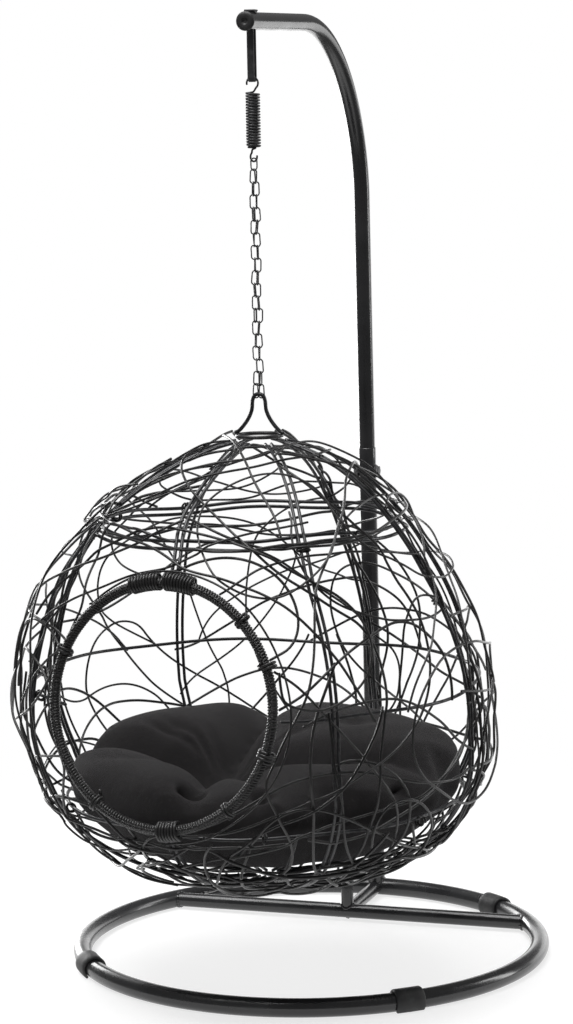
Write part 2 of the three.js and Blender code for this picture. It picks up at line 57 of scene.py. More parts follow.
# ---- dimensions, as in the CAD part unless the photograph shows finer ones ----
RING_RADIUS = 214
RING_TUBE = 17
TUBE_LEVEL = RING_TUBE / 2
CROSSBAR_Y = 115.3
CROSSBAR_TUBE = 13.8
BRACE_TUBE = 12
BRACE_TOP = 92
POST_LEAN = 1.1
POST_Y = 213
POST_TUBE = 17
POST_TOP = 453.3
POLE_TUBE = 15.6
POLE_STRAIGHT_TOP = 700
BEND_END_Y = 24.7
ARM_HEIGHT = 859
ARM_DROOP = 1.1
ARM_END_Y = -134
BOLT_HEIGHT = 430
CLIP_LENGTH = 26
CLIP_OUTER = 11.4
CLIP_INNER = 8.75
CLIP_OPENING = (-43, 223)
WELD_RADIUS = 1.3
CLIP_ANGLES = (-143, -49, 51, 129)
HANG_Y = -119.4
STRAP_WIDTH = 6.2
STRAP_THICKNESS = 1.5
STRAP_BOTTOM = 806.8
STRAP_BEND = 3.2
PLATE_SIZE = (9.5, 11.5, 1.6)
PLATE_BOTTOM = ARM_HEIGHT + POLE_TUBE / 2 + 0.6
SPRING_WIRE = 1.8
SPRING_OUTER = 13.4
SPRING_TOP = 797.3
SPRING_BOTTOM = 750.6
SPRING_TURNS = 19
TOP_HOOK_RADIUS = 5.2
BOTTOM_HOOK_RADIUS = 3.0
HOOK_BOTTOM = 738.5
LINK_WIRE = 1.25
LINK_WIDTH = 6.8
TOP_LINK_LENGTH = 11.95
LINKS_PER_STRAND = 18
STRAND_X = 2.3
STRAND_Y = 2.2
BAIL_WIRE = 3.5
BAIL_TOP = 537
BAIL_HALF_WIDTH = 5.75
CROWN_RADIUS = 20
CROWN_Z = 498.6
BASKET_RADIUS = 213.2
BASKET_WIDEST_Z = 267
BASKET_RISE = 235
BASKET_DROP = 170
RISE_POWER = 1.83
DROP_POWER = 2.35
FRAME_WIRE = 3.2
RIB_WIRE = 2.9
WIDEST_WIRE = 3.0
RIB_INSET = 6.1
RIB_LIFTS = (83.5, -86)
PANELS = 8
HOOP_INSET = 12.6
HOOP_LEVELS = {"upper": 428, "widest": 283, "lower": 172, "bottom": 116}
DOOR_RADIUS = 103.7
DOOR_TURN = -8.1
DOOR_TILT = 6.95
DOOR_DISTANCE = 190
DOOR_DEPTH = 60
DOOR_MARGIN = DOOR_RADIUS + 4.5
CUSHION_RADIUS = 178
CUSHION_CLEAR = 17.5

joints = {j["name"]: j for j in frame["joints"]}
ORIGIN = Vector(joints["swivel"]["pos_m"]) / MM
ORIGIN = np.array((ORIGIN.x, ORIGIN.y - HANG_Y, 0.0))
HEART = np.array((0.0, HANG_Y, BASKET_WIDEST_Z))


def in_frame(points):
    """Points in ring millimetres as metres of the frame."""
    return (np.asarray(points, float) + ORIGIN) * MM


def unit(v):
    v = np.asarray(v, float)
    return v / np.linalg.norm(v)


def polar(radius, degrees, z, centre_y=0.0):
    a = math.radians(degrees)
    return np.array((radius * math.cos(a), centre_y + radius * math.sin(a), z))


# ---- camera, light and floor ----
CAMERA_PLACE = (858.6, -2604.3, 767.2)
CAMERA_TURN = (82.69, 1.1, 18.43)
CAMERA_LENS = 105.4
WORLD_LIGHT = 0.17
# Area lights: name, place and size in metres of the frame, power in watts.
LIGHTS = (
    ("top_light", (-0.3, -0.2, 3.2), (2.4, 2.4), 98),
    ("key_light", (-0.7, -1.3, 3.3), (1.4, 1.4), 40),
    ("backdrop_light", (-0.4, 3.0, 0.1), (6.0, 1.6), 44),
    ("back_left_light", (-2.6, 2.4, 0.9), (1.2, 2.2), 60),
    ("back_right_light", (2.6, 1.6, 1.2), (0.6, 2.0), 26),
)
LIGHT_AIM = (0, 0, 0.45)
FLOOR_REACH = 12.0
FLOOR_DROP = 0.0004
FLOOR_COLOR = (0.32, 0.32, 0.32)
FLOOR_GLOW = 0.74
FLOOR_FADE = (0.34, 0.95)


def make_camera():
    scene = bpy.context.scene
    data = bpy.data.cameras.new("camera")
    data.sensor_width = 36
    data.lens = CAMERA_LENS
    data.clip_end = 50
    camera = bpy.data.objects.new("camera", data)
    camera.location = in_frame(CAMERA_PLACE)
    camera.rotation_euler = [math.radians(a) for a in CAMERA_TURN]
    scene.collection.objects.link(camera)
    scene.camera = camera
    scene.view_settings.view_transform = "Standard"


def make_world():
    """White behind the object, and a dim, even light from all round it."""
    world = bpy.data.worlds.new("studio")
    world.use_nodes = True
    nodes, links = world.node_tree.nodes, world.node_tree.links
    dim = nodes["Background"]
    dim.inputs["Color"].default_value = (1, 1, 1, 1)
    dim.inputs["Strength"].default_value = WORLD_LIGHT
    backdrop = nodes.new("ShaderNodeBackground")
    backdrop.inputs["Color"].default_value = (1, 1, 1, 1)
    seen = nodes.new("ShaderNodeLightPath")
    choose = nodes.new("ShaderNodeMixShader")
    links.new(seen.outputs["Is Camera Ray"], choose.inputs[0])
    links.new(dim.outputs[0], choose.inputs[1])
    links.new(backdrop.outputs[0], choose.inputs[2])
    links.new(choose.outputs[0], nodes["World Output"].inputs["Surface"])
    bpy.context.scene.world = world


def make_lights():
    for name, place, size, watts in LIGHTS:
        light = bpy.data.lights.new(name, "AREA")
        light.shape = "RECTANGLE"
        light.size, light.size_y = size
        light.energy = watts
        lamp = bpy.data.objects.new(name, light)
        lamp.location = place
        lamp.visible_camera = False
        lamp.rotation_euler = (Vector(LIGHT_AIM) - Vector(place)).to_track_quat("-Z", "Y").to_euler()
        bpy.context.scene.collection.objects.link(lamp)


def make_floor():
    """A pale floor that takes the shadow under the object and fades out round it."""
    mesh = bpy.data.meshes.new("floor")
    signs = ((-1, -1), (1, -1), (1, 1), (-1, 1))
    corners = [(x * FLOOR_REACH, y * FLOOR_REACH, -FLOOR_DROP) for x, y in signs]
    mesh.from_pydata(corners, [], [(0, 1, 2, 3)])
    floor = bpy.data.objects.new("floor", mesh)
    bpy.context.scene.collection.objects.link(floor)
    w = Wiring("floor_white", FLOOR_COLOR, 0.7, Specular_IOR_Level=0.1,
               Emission_Color=(1, 1, 1, 1), Emission_Strength=FLOOR_GLOW)
    distance = w.node("ShaderNodeVectorMath", Vector=w.place())
    distance.operation = "LENGTH"
    blend = w.node("ShaderNodeMixShader")
    w.put(blend, 0, w.ramp(distance.outputs["Value"], *FLOOR_FADE, 0.0, 1.0))
    w.put(blend, 1, w.shader.outputs[0])
    w.put(blend, 2, w.node("ShaderNodeBsdfTransparent").outputs[0])
    w.put(w.tree.nodes["Material Output"], "Surface", blend.outputs[0])
    mesh.materials.append(w.material)


# ---- materials ----
class Wiring:
    """A new material, and short ways to add and link its nodes."""

    def __init__(self, name, color, roughness, metallic=0.0, **more):
        self.material = bpy.data.materials.new(name)
        self.material.use_nodes = True
        self.tree = self.material.node_tree
        self.shader = self.tree.nodes["Principled BSDF"]
        self.shader.inputs["Base Color"].default_value = (*color, 1)
        self.shader.inputs["Roughness"].default_value = roughness
        self.shader.inputs["Metallic"].default_value = metallic
        for key, value in more.items():
            self.shader.inputs[key.replace("_", " ")].default_value = value

    def node(self, kind, **inputs):
        made = self.tree.nodes.new(kind)
        for key, value in inputs.items():
            self.put(made, key.replace("_", " "), value)
        return made

    def put(self, node, key, value):
        """Links a socket, or sets it to a number or to a colour."""
        if isinstance(value, bpy.types.NodeSocket):
            self.tree.links.new(value, node.inputs[key])
        elif isinstance(value, tuple):
            node.inputs[key].default_value = (*value, 1)
        else:
            node.inputs[key].default_value = value

    def scaled(self, vector, scale):
        mapping = self.node("ShaderNodeMapping", Vector=vector)
        mapping.inputs["Scale"].default_value = scale
        return mapping.outputs["Vector"]

    def place(self, scale=(1, 1, 1)):
        """The object's own coordinates, in metres, times scale."""
        return self.scaled(self.node("ShaderNodeTexCoord").outputs["Object"], scale)

    def stored(self, name, output):
        """What the mesh keeps at its points under this name."""
        made = self.node("ShaderNodeAttribute")
        made.attribute_name = name
        return made.outputs[output]

    def grain(self, around, along):
        """Coordinates that run round and along a strand, so that streaks follow it."""
        return self.scaled(self.stored("grain", "Vector"), (around, around, along))

    def noise(self, vector, scale, detail=3.0):
        return self.node("ShaderNodeTexNoise", Vector=vector, Scale=scale, Detail=detail).outputs["Fac"]

    def ramp(self, value, low, high, out_low, out_high):
        made = self.node("ShaderNodeMapRange", Value=value, From_Min=low, From_Max=high,
                         To_Min=out_low, To_Max=out_high)
        made.interpolation_type = "SMOOTHSTEP"
        return made.outputs["Result"]

    def mix(self, factor, a, b):
        made = self.node("ShaderNodeMix")
        made.data_type = "RGBA"
        for index, value in ((0, factor), (6, a), (7, b)):
            self.put(made, index, value)
        return made.outputs[2]

    def maths(self, operation, a, b=0.0):
        made = self.node("ShaderNodeMath")
        made.operation = operation
        self.put(made, 0, a)
        self.put(made, 1, b)
        return made.outputs[0]

    def bump(self, height, distance, strength=1.0, under=None):
        made = self.node("ShaderNodeBump", Height=height, Distance=distance, Strength=strength)
        if under is not None:
            self.put(made, "Normal", under)
        return made.outputs["Normal"]

    def finish(self, color, roughness, normal):
        for key, value in (("Base Color", color), ("Roughness", roughness), ("Normal", normal)):
            self.put(self.shader, key, value)
        return self.material


def paint_material():
    """Satin black powder coat: fine orange peel, faint cloudiness and a few duller patches."""
    w = Wiring("stand_paint", (0.02, 0.02, 0.022), 0.3, Coat_Weight=0.35, Coat_Roughness=0.1)
    where = w.place()
    clouds = w.noise(where, 22.0, 4.0)
    peel = w.noise(where, 900.0, 2.0)
    dust = w.noise(where, 2600.0, 1.0)
    color = w.mix(w.ramp(clouds, 0.3, 0.7, 0.0, 1.0), (0.012, 0.012, 0.013), (0.022, 0.022, 0.0235))
    specks = w.mix(w.ramp(dust, 0.68, 0.78, 0.0, 0.5), color, (0.07, 0.07, 0.072))
    return w.finish(specks, w.ramp(clouds, 0.25, 0.8, 0.2, 0.34), w.bump(peel, 0.00012, 0.6))


def wire_material(name, low, high, rough_low, rough_high, metallic):
    """Black coated wire: drawn streaks along it and worn, lighter places."""
    w = Wiring(name, low, rough_low, metallic)
    streaks = w.noise(w.grain(1.6, 0.05), 2.0, 3.0)
    where = w.place()
    wear = w.noise(where, 160.0, 4.0)
    color = w.mix(w.ramp(wear, 0.45, 0.75, 0.0, 1.0), low, high)
    pits = w.bump(w.noise(where, 1500.0, 2.0), 0.00008, 0.5)
    roughness = w.ramp(streaks, 0.3, 0.7, rough_low, rough_high)
    return w.finish(color, roughness, w.bump(streaks, 0.00008, 0.5, pits))


def rattan_material():
    """Round synthetic rattan: satin black, lengthwise grain, each strand a little different in tone, and low
    strands darker by painted shade.
    """
    w = Wiring("rattan", (0.03, 0.03, 0.03), 0.4, Specular_IOR_Level=0.2,
               Coat_Weight=0.35, Coat_Roughness=0.12)
    grain = w.noise(w.grain(2.4, 0.035), 1.8, 4.0)
    fine = w.noise(w.grain(6.0, 0.12), 1.5, 2.0)
    patches = w.noise(w.place(), 45.0, 3.0)
    # The stored tone is partly random and partly painted shade: make_weave darkens the tone of the strands
    # that lie low.
    tone = w.mix(w.stored("tone", "Fac"), (0.008, 0.0077, 0.0079), (0.044, 0.0427, 0.043))
    streaked = w.mix(w.ramp(grain, 0.35, 0.7, 0.0, 0.6), tone, (0.007, 0.007, 0.0072))
    worn = w.mix(w.ramp(patches, 0.62, 0.8, 0.0, 0.4), streaked, (0.055, 0.054, 0.053))
    relief = w.bump(grain, 0.0004, 0.7, w.bump(fine, 0.00015, 0.6))
    return w.finish(worn, w.ramp(fine, 0.3, 0.7, 0.24, 0.42), relief)


def clip_material():
    """Moulded black plastic with a fine matt texture and slightly rubbed high spots."""
    w = Wiring("clip_plastic", (0.02, 0.02, 0.02), 0.6)
    where = w.place()
    texture = w.noise(where, 1800.0, 2.0)
    rubbed = w.noise(where, 90.0, 5.0)
    color = w.mix(w.ramp(rubbed, 0.5, 0.75, 0.0, 1.0), (0.018, 0.018, 0.0185), (0.04, 0.04, 0.041))
    return w.finish(color, w.ramp(rubbed, 0.3, 0.8, 0.62, 0.45), w.bump(texture, 0.00015, 0.8))


THREADS_PER_METRE = 2100.0


def fabric_material():
    """Charcoal woven polyester: crossing threads, slubs and soft, uneven dye, and painted shade that darkens
    it low down.
    """
    w = Wiring("cushion_fabric", (0.02, 0.019, 0.02), 0.9, Specular_IOR_Level=0.12,
               Sheen_Weight=0.08, Sheen_Roughness=0.45, Sheen_Tint=(0.9, 0.88, 0.9, 1))
    coords = w.node("ShaderNodeTexCoord")
    axes = w.node("ShaderNodeSeparateXYZ", Vector=coords.outputs["Object"]).outputs
    tilt = w.maths("MULTIPLY", axes["Z"], 0.6)

    def thread(axis):
        across = w.maths("ADD", axes[axis], tilt)
        return w.maths("SINE", w.maths("MULTIPLY", across, THREADS_PER_METRE * math.tau))

    weave = w.maths("MULTIPLY", thread("X"), thread("Y"))
    where = w.place()
    slubs = w.noise(w.place((1, 6, 1)), 240.0, 3.0)
    dye = w.noise(where, 14.0, 4.0)
    base = w.mix(w.ramp(dye, 0.3, 0.7, 0.0, 1.0), (0.0145, 0.0133, 0.0139), (0.0215, 0.0199, 0.0207))
    threads = w.mix(w.ramp(weave, -1.0, 1.0, 0.0, 0.45), base, (0.03, 0.0285, 0.029))
    color = w.mix(w.ramp(slubs, 0.55, 0.8, 0.0, 0.6), threads, (0.036, 0.0345, 0.035))
    # Painted shade: the cover darkens towards its bottom, standing in for the basket's shade; the dye noise
    # makes the edge of it uneven.
    height = w.maths("ADD", axes["Z"], w.ramp(dye, 0.2, 0.8, -0.012, 0.012))
    color = w.mix(w.ramp(height, 0.13, 0.205, 0.62, 0.0), color, (0.004, 0.0037, 0.0039))
    soft = w.bump(w.noise(where, 60.0, 4.0), 0.0012, 0.35)
    relief = w.bump(weave, 0.0002, 0.7, w.bump(slubs, 0.0003, 0.5, soft))
    return w.finish(color, w.ramp(slubs, 0.3, 0.8, 0.95, 0.82), relief)


# ---- mesh making ----
# A rounded tube end: how far out its steps are and how wide, in radii.
ROUND_END = ((0.45, 0.55), (0.3, 0.85))
# Moves the grain along by the strand's tone, so that each strand has streaks of its own.
GRAIN_SHIFT = 977.0


def round_angles(count):
    """Equal steps round a circle, in radians."""
    return np.linspace(0, math.tau, count, endpoint=False)


def carried_frames(points, closed):
    """Two directions across a path at each point, carried along it without twist."""
    p = np.asarray(points, float)
    if closed:
        tangents = np.roll(p, -1, 0) - np.roll(p, 1, 0)
    else:
        tangents = np.gradient(p, axis=0)
    tangents /= np.linalg.norm(tangents, axis=1)[:, None] + 1e-12
    first = np.cross(tangents[0], (0.0, 0.0, 1.0))
    if np.linalg.norm(first) < 0.1:
        first = np.cross(tangents[0], (1.0, 0.0, 0.0))
    across = [unit(first)]
    for t in tangents[1:]:
        across.append(unit(across[-1] - t * (across[-1] @ t)))
    across = np.array(across)
    other = np.cross(tangents, across)
    if closed:
        back = across[-1] - tangents[0] * (across[-1] @ tangents[0])
        gap = math.atan2(back @ other[0], back @ across[0])
        turn = -gap * np.arange(len(p)) / len(p)
        c, s = np.cos(turn)[:, None], np.sin(turn)[:, None]
        across, other = across * c + other * s, other * c - across * s
    return across, other


class Piece:
    """Gathers tubes and lofts into one mesh; grain and tone are kept for the materials."""

    def __init__(self):
        self.points, self.faces, self.grains, self.tones = [], [], [], []
        self.count = 0

    def loft(self, rings, closed=False, tone=0.5):
        rings = np.asarray(rings, float)
        rows, sides = rings.shape[:2]
        base = self.count
        self.points.append(rings.reshape(-1, 3))
        self.count += rows * sides
        steps = np.linalg.norm(np.diff(rings.mean(1), axis=0), axis=1)
        grain = np.empty((rows, sides, 3))
        grain[..., 0] = np.cos(round_angles(sides))
        grain[..., 1] = np.sin(round_angles(sides))
        grain[..., 2] = np.concatenate(([0.0], np.cumsum(steps)))[:, None] + GRAIN_SHIFT * tone
        self.grains.append(grain.reshape(-1, 3))
        self.tones.append(np.full(rows * sides, tone))
        i, j = np.meshgrid(np.arange(rows if closed else rows - 1), np.arange(sides), indexing="ij")
        next_i, next_j = (i + 1) % rows, (j + 1) % sides
        corners = (i * sides + j, i * sides + next_j, next_i * sides + next_j, next_i * sides + j)
        self.faces.extend((np.stack(corners, -1).reshape(-1, 4) + base).tolist())
        if not closed:
            self.faces.append(list(range(base + sides - 1, base - 1, -1)))
            last = base + (rows - 1) * sides
            self.faces.append(list(range(last, last + sides)))

    def tube(self, points, radius, sides=10, closed=False, tone=0.5, round_ends=True):
        p = np.asarray(points, float)
        radii = np.broadcast_to(np.asarray(radius, float), (len(p),)).copy()
        if not closed and round_ends:
            first, last = unit(p[0] - p[1]), unit(p[-1] - p[-2])
            before = [p[0] + first * radii[0] * out for out, _ in ROUND_END]
            after = [p[-1] + last * radii[-1] * out for out, _ in ROUND_END[::-1]]
            wide = np.array([share for _, share in ROUND_END])
            p = np.vstack((before, p, after))
            radii = np.concatenate((radii[0] * wide, radii, radii[-1] * wide[::-1]))
        across, other = carried_frames(p, closed)
        a = round_angles(sides)
        spokes = np.cos(a)[None, :, None] * across[:, None] + np.sin(a)[None, :, None] * other[:, None]
        self.loft(p[:, None] + spokes * radii[:, None, None], closed, tone)

    def lathe(self, profile, foot, axis, sides=48):
        """Turns (radius, height) points about an axis."""
        axis = unit(axis)
        across, other = carried_frames([foot, foot + axis], False)
        a = round_angles(sides)
        spokes = np.cos(a)[:, None] * across[0] + np.sin(a)[:, None] * other[0]
        self.loft([foot + axis * h + spokes * max(r, 0.01) for r, h in profile])

    def build(self, name, body, material, *nodes, sharp=40.0):
        """The finished piece; nodes are the CAD nodes it replaces."""
        points = in_frame(np.vstack(self.points))
        mesh = bpy.data.meshes.new(name)
        mesh.from_pydata(points.tolist(), [], self.faces)
        grain = mesh.attributes.new("grain", "FLOAT_VECTOR", "POINT")
        grain.data.foreach_set("vector", np.vstack(self.grains).astype(np.float32).ravel())
        tone = mesh.attributes.new("tone", "FLOAT", "POINT")
        tone.data.foreach_set("value", np.concatenate(self.tones).astype(np.float32))
        mesh.shade_smooth()
        mesh.set_sharp_from_angle(angle=math.radians(sharp))
        mesh.materials.append(material)
        mesh.validate()
        made = bpy.data.objects.new(name, mesh)
        bpy.context.scene.collection.objects.link(made)
        if body:
            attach(made, body)
        if nodes:
            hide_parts(*nodes)
        return made


def smooth_path(points, step):
    """A Catmull-Rom curve through points, cut into equal steps."""
    p = np.asarray(points, float)
    p = np.vstack((2 * p[0] - p[1], p, 2 * p[-1] - p[-2]))
    fine = []
    for i in range(1, len(p) - 2):
        p0, p1, p2, p3 = p[i - 1:i + 3]
        gaps = [max(np.linalg.norm(b - a), 1e-6) ** 0.5 for a, b in ((p0, p1), (p1, p2), (p2, p3))]
        k = np.cumsum([0.0] + gaps)
        t = np.linspace(k[1], k[2], 16, endpoint=False)[:, None]

        def between(a, b, start, stop):
            return (k[stop] - t) / (k[stop] - k[start]) * a + (t - k[start]) / (k[stop] - k[start]) * b

        low = between(between(p0, p1, 0, 1), between(p1, p2, 1, 2), 0, 2)
        high = between(between(p1, p2, 1, 2), between(p2, p3, 2, 3), 1, 3)
        fine.append(between(low, high, 1, 2))
    return even_steps(np.vstack(fine + [p[-2][None]]), step)


def even_steps(points, step, closed=False):
    p = np.asarray(points, float)
    run = np.concatenate(([0.0], np.cumsum(np.linalg.norm(np.diff(p, axis=0), axis=1))))
    count = max(3, int(round(run[-1] / step)) + 1)
    stations = np.linspace(0, run[-1], count)
    if closed:
        stations = stations[:-1]
    return np.stack([np.interp(stations, run, p[:, k]) for k in range(3)], 1)


def coil(centreline, radius, pitch, start=0.0, per_turn=12, closed=False):
    """A helix round a centreline; a closed one meets itself after a whole number of turns."""
    line = even_steps(centreline, pitch / per_turn, closed)
    steps_per_turn = len(line) / round(len(line) / per_turn) if closed else per_turn
    phase = np.arange(len(line)) / steps_per_turn * math.tau
    across, other = carried_frames(line, closed)
    c, s = np.cos(phase + start)[:, None], np.sin(phase + start)[:, None]
    return line + radius * (across * c + other * s)


def bezier(a, b, c, d, count):
    t = np.linspace(0, 1, count)[:, None]
    return a * (1 - t) ** 3 + 3 * b * t * (1 - t) ** 2 + 3 * c * t ** 2 * (1 - t) + d * t ** 3


def lumpy(count, amount, seed):
    """Slightly uneven factors round 1, smooth from one to the next."""
    noise = np.random.default_rng(seed).normal(size=count)
    smooth = (noise + np.roll(noise, 1) + np.roll(noise, -1)) / 1.73
    return 1 + amount * np.clip(smooth, -2, 2)


# ---- stand ----
BAR_MIDDLE = np.array((0.0, CROSSBAR_Y, TUBE_LEVEL))


def post_point(z):
    return np.array((0.0, POST_Y - z * math.tan(math.radians(POST_LEAN)), z))


def arm_point(y):
    return np.array((0.0, y, ARM_HEIGHT + (y - HANG_Y) * math.tan(math.radians(ARM_DROOP))))


POST_AXIS = unit(post_point(1) - post_point(0))


def ring_arc(radius, z, centre_y=0.0, count=180):
    return np.array([polar(radius, a, z, centre_y) for a in np.linspace(0, 360, count, endpoint=False)])


def stand_tube(paint, name, path, radius, sides, *nodes, closed=False):
    piece = Piece()
    piece.tube(path, radius, sides, closed=closed, round_ends=False)
    piece.build(name, "stand", paint, *nodes)


def make_low_tubes(paint):
    stand_tube(paint, "ring_tube", ring_arc(RING_RADIUS, TUBE_LEVEL, count=240), TUBE_LEVEL, 32, "base_ring",
               closed=True)
    reach = math.sqrt(RING_RADIUS ** 2 - CROSSBAR_Y ** 2) - 3
    ends = [(x, CROSSBAR_Y, TUBE_LEVEL) for x in (-reach, reach)]
    stand_tube(paint, "crossbar_tube", even_steps(ends, 12), CROSSBAR_TUBE / 2, 28, "crossbar")
    strut = even_steps([BAR_MIDDLE, (0, POST_Y, TUBE_LEVEL)], 8)
    stand_tube(paint, "strut_tube", strut, CROSSBAR_TUBE / 2 - 0.2, 28, "foot_strut")
    brace = smooth_path((
        BAR_MIDDLE,
        (0, CROSSBAR_Y, TUBE_LEVEL + 28),
        (0, CROSSBAR_Y + 12, BRACE_TOP - 30),
        (0, CROSSBAR_Y + 45, BRACE_TOP - 8),
        post_point(BRACE_TOP),
    ), 3)
    stand_tube(paint, "brace_tube", brace, BRACE_TUBE / 2, 24, "pole_brace")


def make_post(paint):
    """The lower post, open at its top, where its rim is rounded and its wall can be seen."""
    outer = POST_TUBE / 2
    inner = outer - 0.7
    length = (POST_TOP - TUBE_LEVEL) / POST_AXIS[2]
    profile = [(outer, h) for h in np.linspace(0, length - 0.7, 40)]
    profile += [(outer - 0.25, length - 0.2), (outer - 0.6, length),
                (inner, length - 0.1), (inner, length - 6)]
    post = Piece()
    post.lathe(profile, post_point(TUBE_LEVEL), POST_AXIS, 32)
    post.build("post_tube", "stand", paint, "lower_post")


def make_pole(paint):
    bend = bezier(post_point(POLE_STRAIGHT_TOP), post_point(POLE_STRAIGHT_TOP + 69),
                  arm_point(BEND_END_Y + 108.5), arm_point(BEND_END_Y), 60)
    straight = even_steps((post_point(POST_TOP - 5), post_point(POLE_STRAIGHT_TOP)), 10)
    arm = even_steps((arm_point(BEND_END_Y), arm_point(ARM_END_Y)), 10)
    path = np.vstack((straight[:-1], bend[:-1], arm))
    stand_tube(paint, "pole_tube", path, POLE_TUBE / 2, 32, "upper_pole", "pole_spigot")


def seam_on_ring(side):
    """Where the crossbar's surface meets the inner side of the base ring."""
    seam = []
    for a in round_angles(48):
        y = CROSSBAR_Y + CROSSBAR_TUBE / 2 * math.cos(a)
        dz = CROSSBAR_TUBE / 2 * math.sin(a)
        reach = RING_RADIUS - math.sqrt(TUBE_LEVEL ** 2 - dz ** 2)
        seam.append((side * math.sqrt(reach ** 2 - y ** 2), y, TUBE_LEVEL + dz))
    return seam


def seam_across(centre, direction, radius, target_axis, target_radius, sign=1):
    """Where a tube of this radius, running along direction, meets the side of a straight tube."""
    direction, axis = unit(direction), unit(target_axis)
    out = unit(np.cross(direction, axis))
    seam = []
    for a in round_angles(40):
        sideways = radius * math.cos(a)
        depth = math.sqrt(max(target_radius ** 2 - sideways ** 2, 0.0))
        seam.append(centre + out * sideways + axis * radius * math.sin(a) + direction * sign * depth)
    return seam


def make_welds(paint):
    """Rippled fillets round the seams."""
    along_x, along_y, upright = (1, 0, 0), (0, 1, 0), (0, 0, 1)
    brace_end = (0, 1, 0.16)
    bar, brace, post = CROSSBAR_TUBE / 2, BRACE_TUBE / 2, POST_TUBE / 2
    beads = {
        "weld_left": seam_on_ring(-1),
        "weld_right": seam_on_ring(1),
        "weld_strut": seam_across(BAR_MIDDLE, along_y, bar, along_x, bar),
        "weld_brace_foot": seam_across(BAR_MIDDLE, upright, brace, along_x, bar),
        "weld_brace_top": seam_across(post_point(BRACE_TOP), brace_end, brace, POST_AXIS, post, -1),
        "weld_post_foot": seam_across(post_point(TUBE_LEVEL), upright, post - 0.4, along_x, TUBE_LEVEL),
    }
    for seed, (name, seam) in enumerate(beads.items()):
        path = even_steps(np.vstack((seam, seam[0])), 0.8, closed=True)
        ripple = 1 + 0.16 * np.sin(np.arange(len(path)) * 1.9)
        bead = Piece()
        bead.tube(path, WELD_RADIUS * ripple * lumpy(len(path), 0.1, seed), 8, closed=True)
        bead.build(name, "stand", paint)


def make_bolt(steel):
    middle, out, back = post_point(BOLT_HEIGHT), (1, 0, 0), (-1, 0, 0)
    face = POST_TUBE / 2
    right, left = middle + (face, 0, 0), middle - (face, 0, 0)
    washer = ((2.6, -0.1), (6.1, -0.1), (6.3, 0.2), (6.3, 0.7), (6.0, 0.95), (2.6, 0.95))
    head = ((3.0, 0.9), (4.95, 0.9), (5.2, 1.2), (5.2, 3.0), (4.7, 3.6), (2.4, 3.75), (0, 3.8))
    shank = [(2.5, h) for h in np.linspace(0, 2 * face + 4.6, 6)]
    bolt = Piece()
    bolt.lathe(washer, right, out, 32)
    bolt.lathe(head, right, out, 6)
    bolt.lathe(shank + [(2.1, 2 * face + 5.3), (0, 2 * face + 5.4)], right, back, 20)
    bolt.build("bolt", "stand", steel, "pole_bolt", sharp=25)
    nut = Piece()
    nut.lathe(washer, left, back, 32)
    flats = ((2.6, 0.9), (4.0, 0.9), (4.25, 1.2), (4.25, 3.6), (3.9, 4.1), (2.6, 4.15), (2.5, 1))
    nut.lathe(flats, left, back, 6)
    nut.build("nut", "stand", steel, "pole_nut", sharp=25)


def clip_outline(inset):
    """A clip's section as (radius, degrees): a C that is open below, with rounded lips."""
    r_out, r_in = CLIP_OUTER - inset, CLIP_INNER + inset * 0.6
    middle, lip = (r_out + r_in) / 2, (r_out - r_in) / 2
    start, stop = CLIP_OPENING
    round_lip = np.linspace(0.5, math.pi - 0.5, 5)
    over = [(r_out, a) for a in np.linspace(start, stop, 46)]
    left = [(middle + lip * math.cos(b), stop + math.degrees(lip * math.sin(b) / 10)) for b in round_lip]
    under = [(r_in, a) for a in np.linspace(stop, start, 46)]
    right = [(middle - lip * math.cos(b), start - math.degrees(lip * math.sin(b) / 10)) for b in round_lip]
    return over + left + under + right


def make_clips(plastic):
    """Plastic shells on the base ring, with softened ends."""
    half = CLIP_LENGTH / 2
    stations = ((-half, 0.9), (-half + 0.25, 0.4), (-half + 0.9, 0.0), (-half + 6, 0.0), (0, -0.05),
                (half - 6, 0.0), (half - 0.9, 0.0), (half - 0.25, 0.4), (half, 0.9))
    for number, angle in enumerate(CLIP_ANGLES, 1):
        rings = []
        for s, inset in stations:
            turn = angle + math.degrees(s / RING_RADIUS)
            section = [polar(r, a, 0) for r, a in clip_outline(inset)]
            ring = [polar(RING_RADIUS + q[0], turn, TUBE_LEVEL + q[1]) for q in section]
            rings.append(ring[::-1])
        clip = Piece()
        clip.loft(rings)
        clip.build(f"clip_{number}", "stand", plastic, f"foot_clip_{number}", sharp=50)


def make_arm_cap(plastic):
    tube = POLE_TUBE / 2
    rim = tube + 0.6
    profile = ((0, 1.5), (1.6, 1.5), (2.3, 1.9), (2.7, 2.5), (3.4, 2.75), (rim - 2.2, 2.6),
               (rim - 1.1, 2.25), (rim - 0.35, 1.6), (rim, 0.9), (rim, 0.3), (rim - 0.3, 0.05),
               (tube - 1.6, 0.05), (tube - 1.7, -8))
    cap = Piece()
    cap.lathe(profile, arm_point(ARM_END_Y), unit(arm_point(ARM_END_Y) - arm_point(0)))
    cap.build("arm_cap", "stand", plastic, "arm_end_cap", sharp=60)


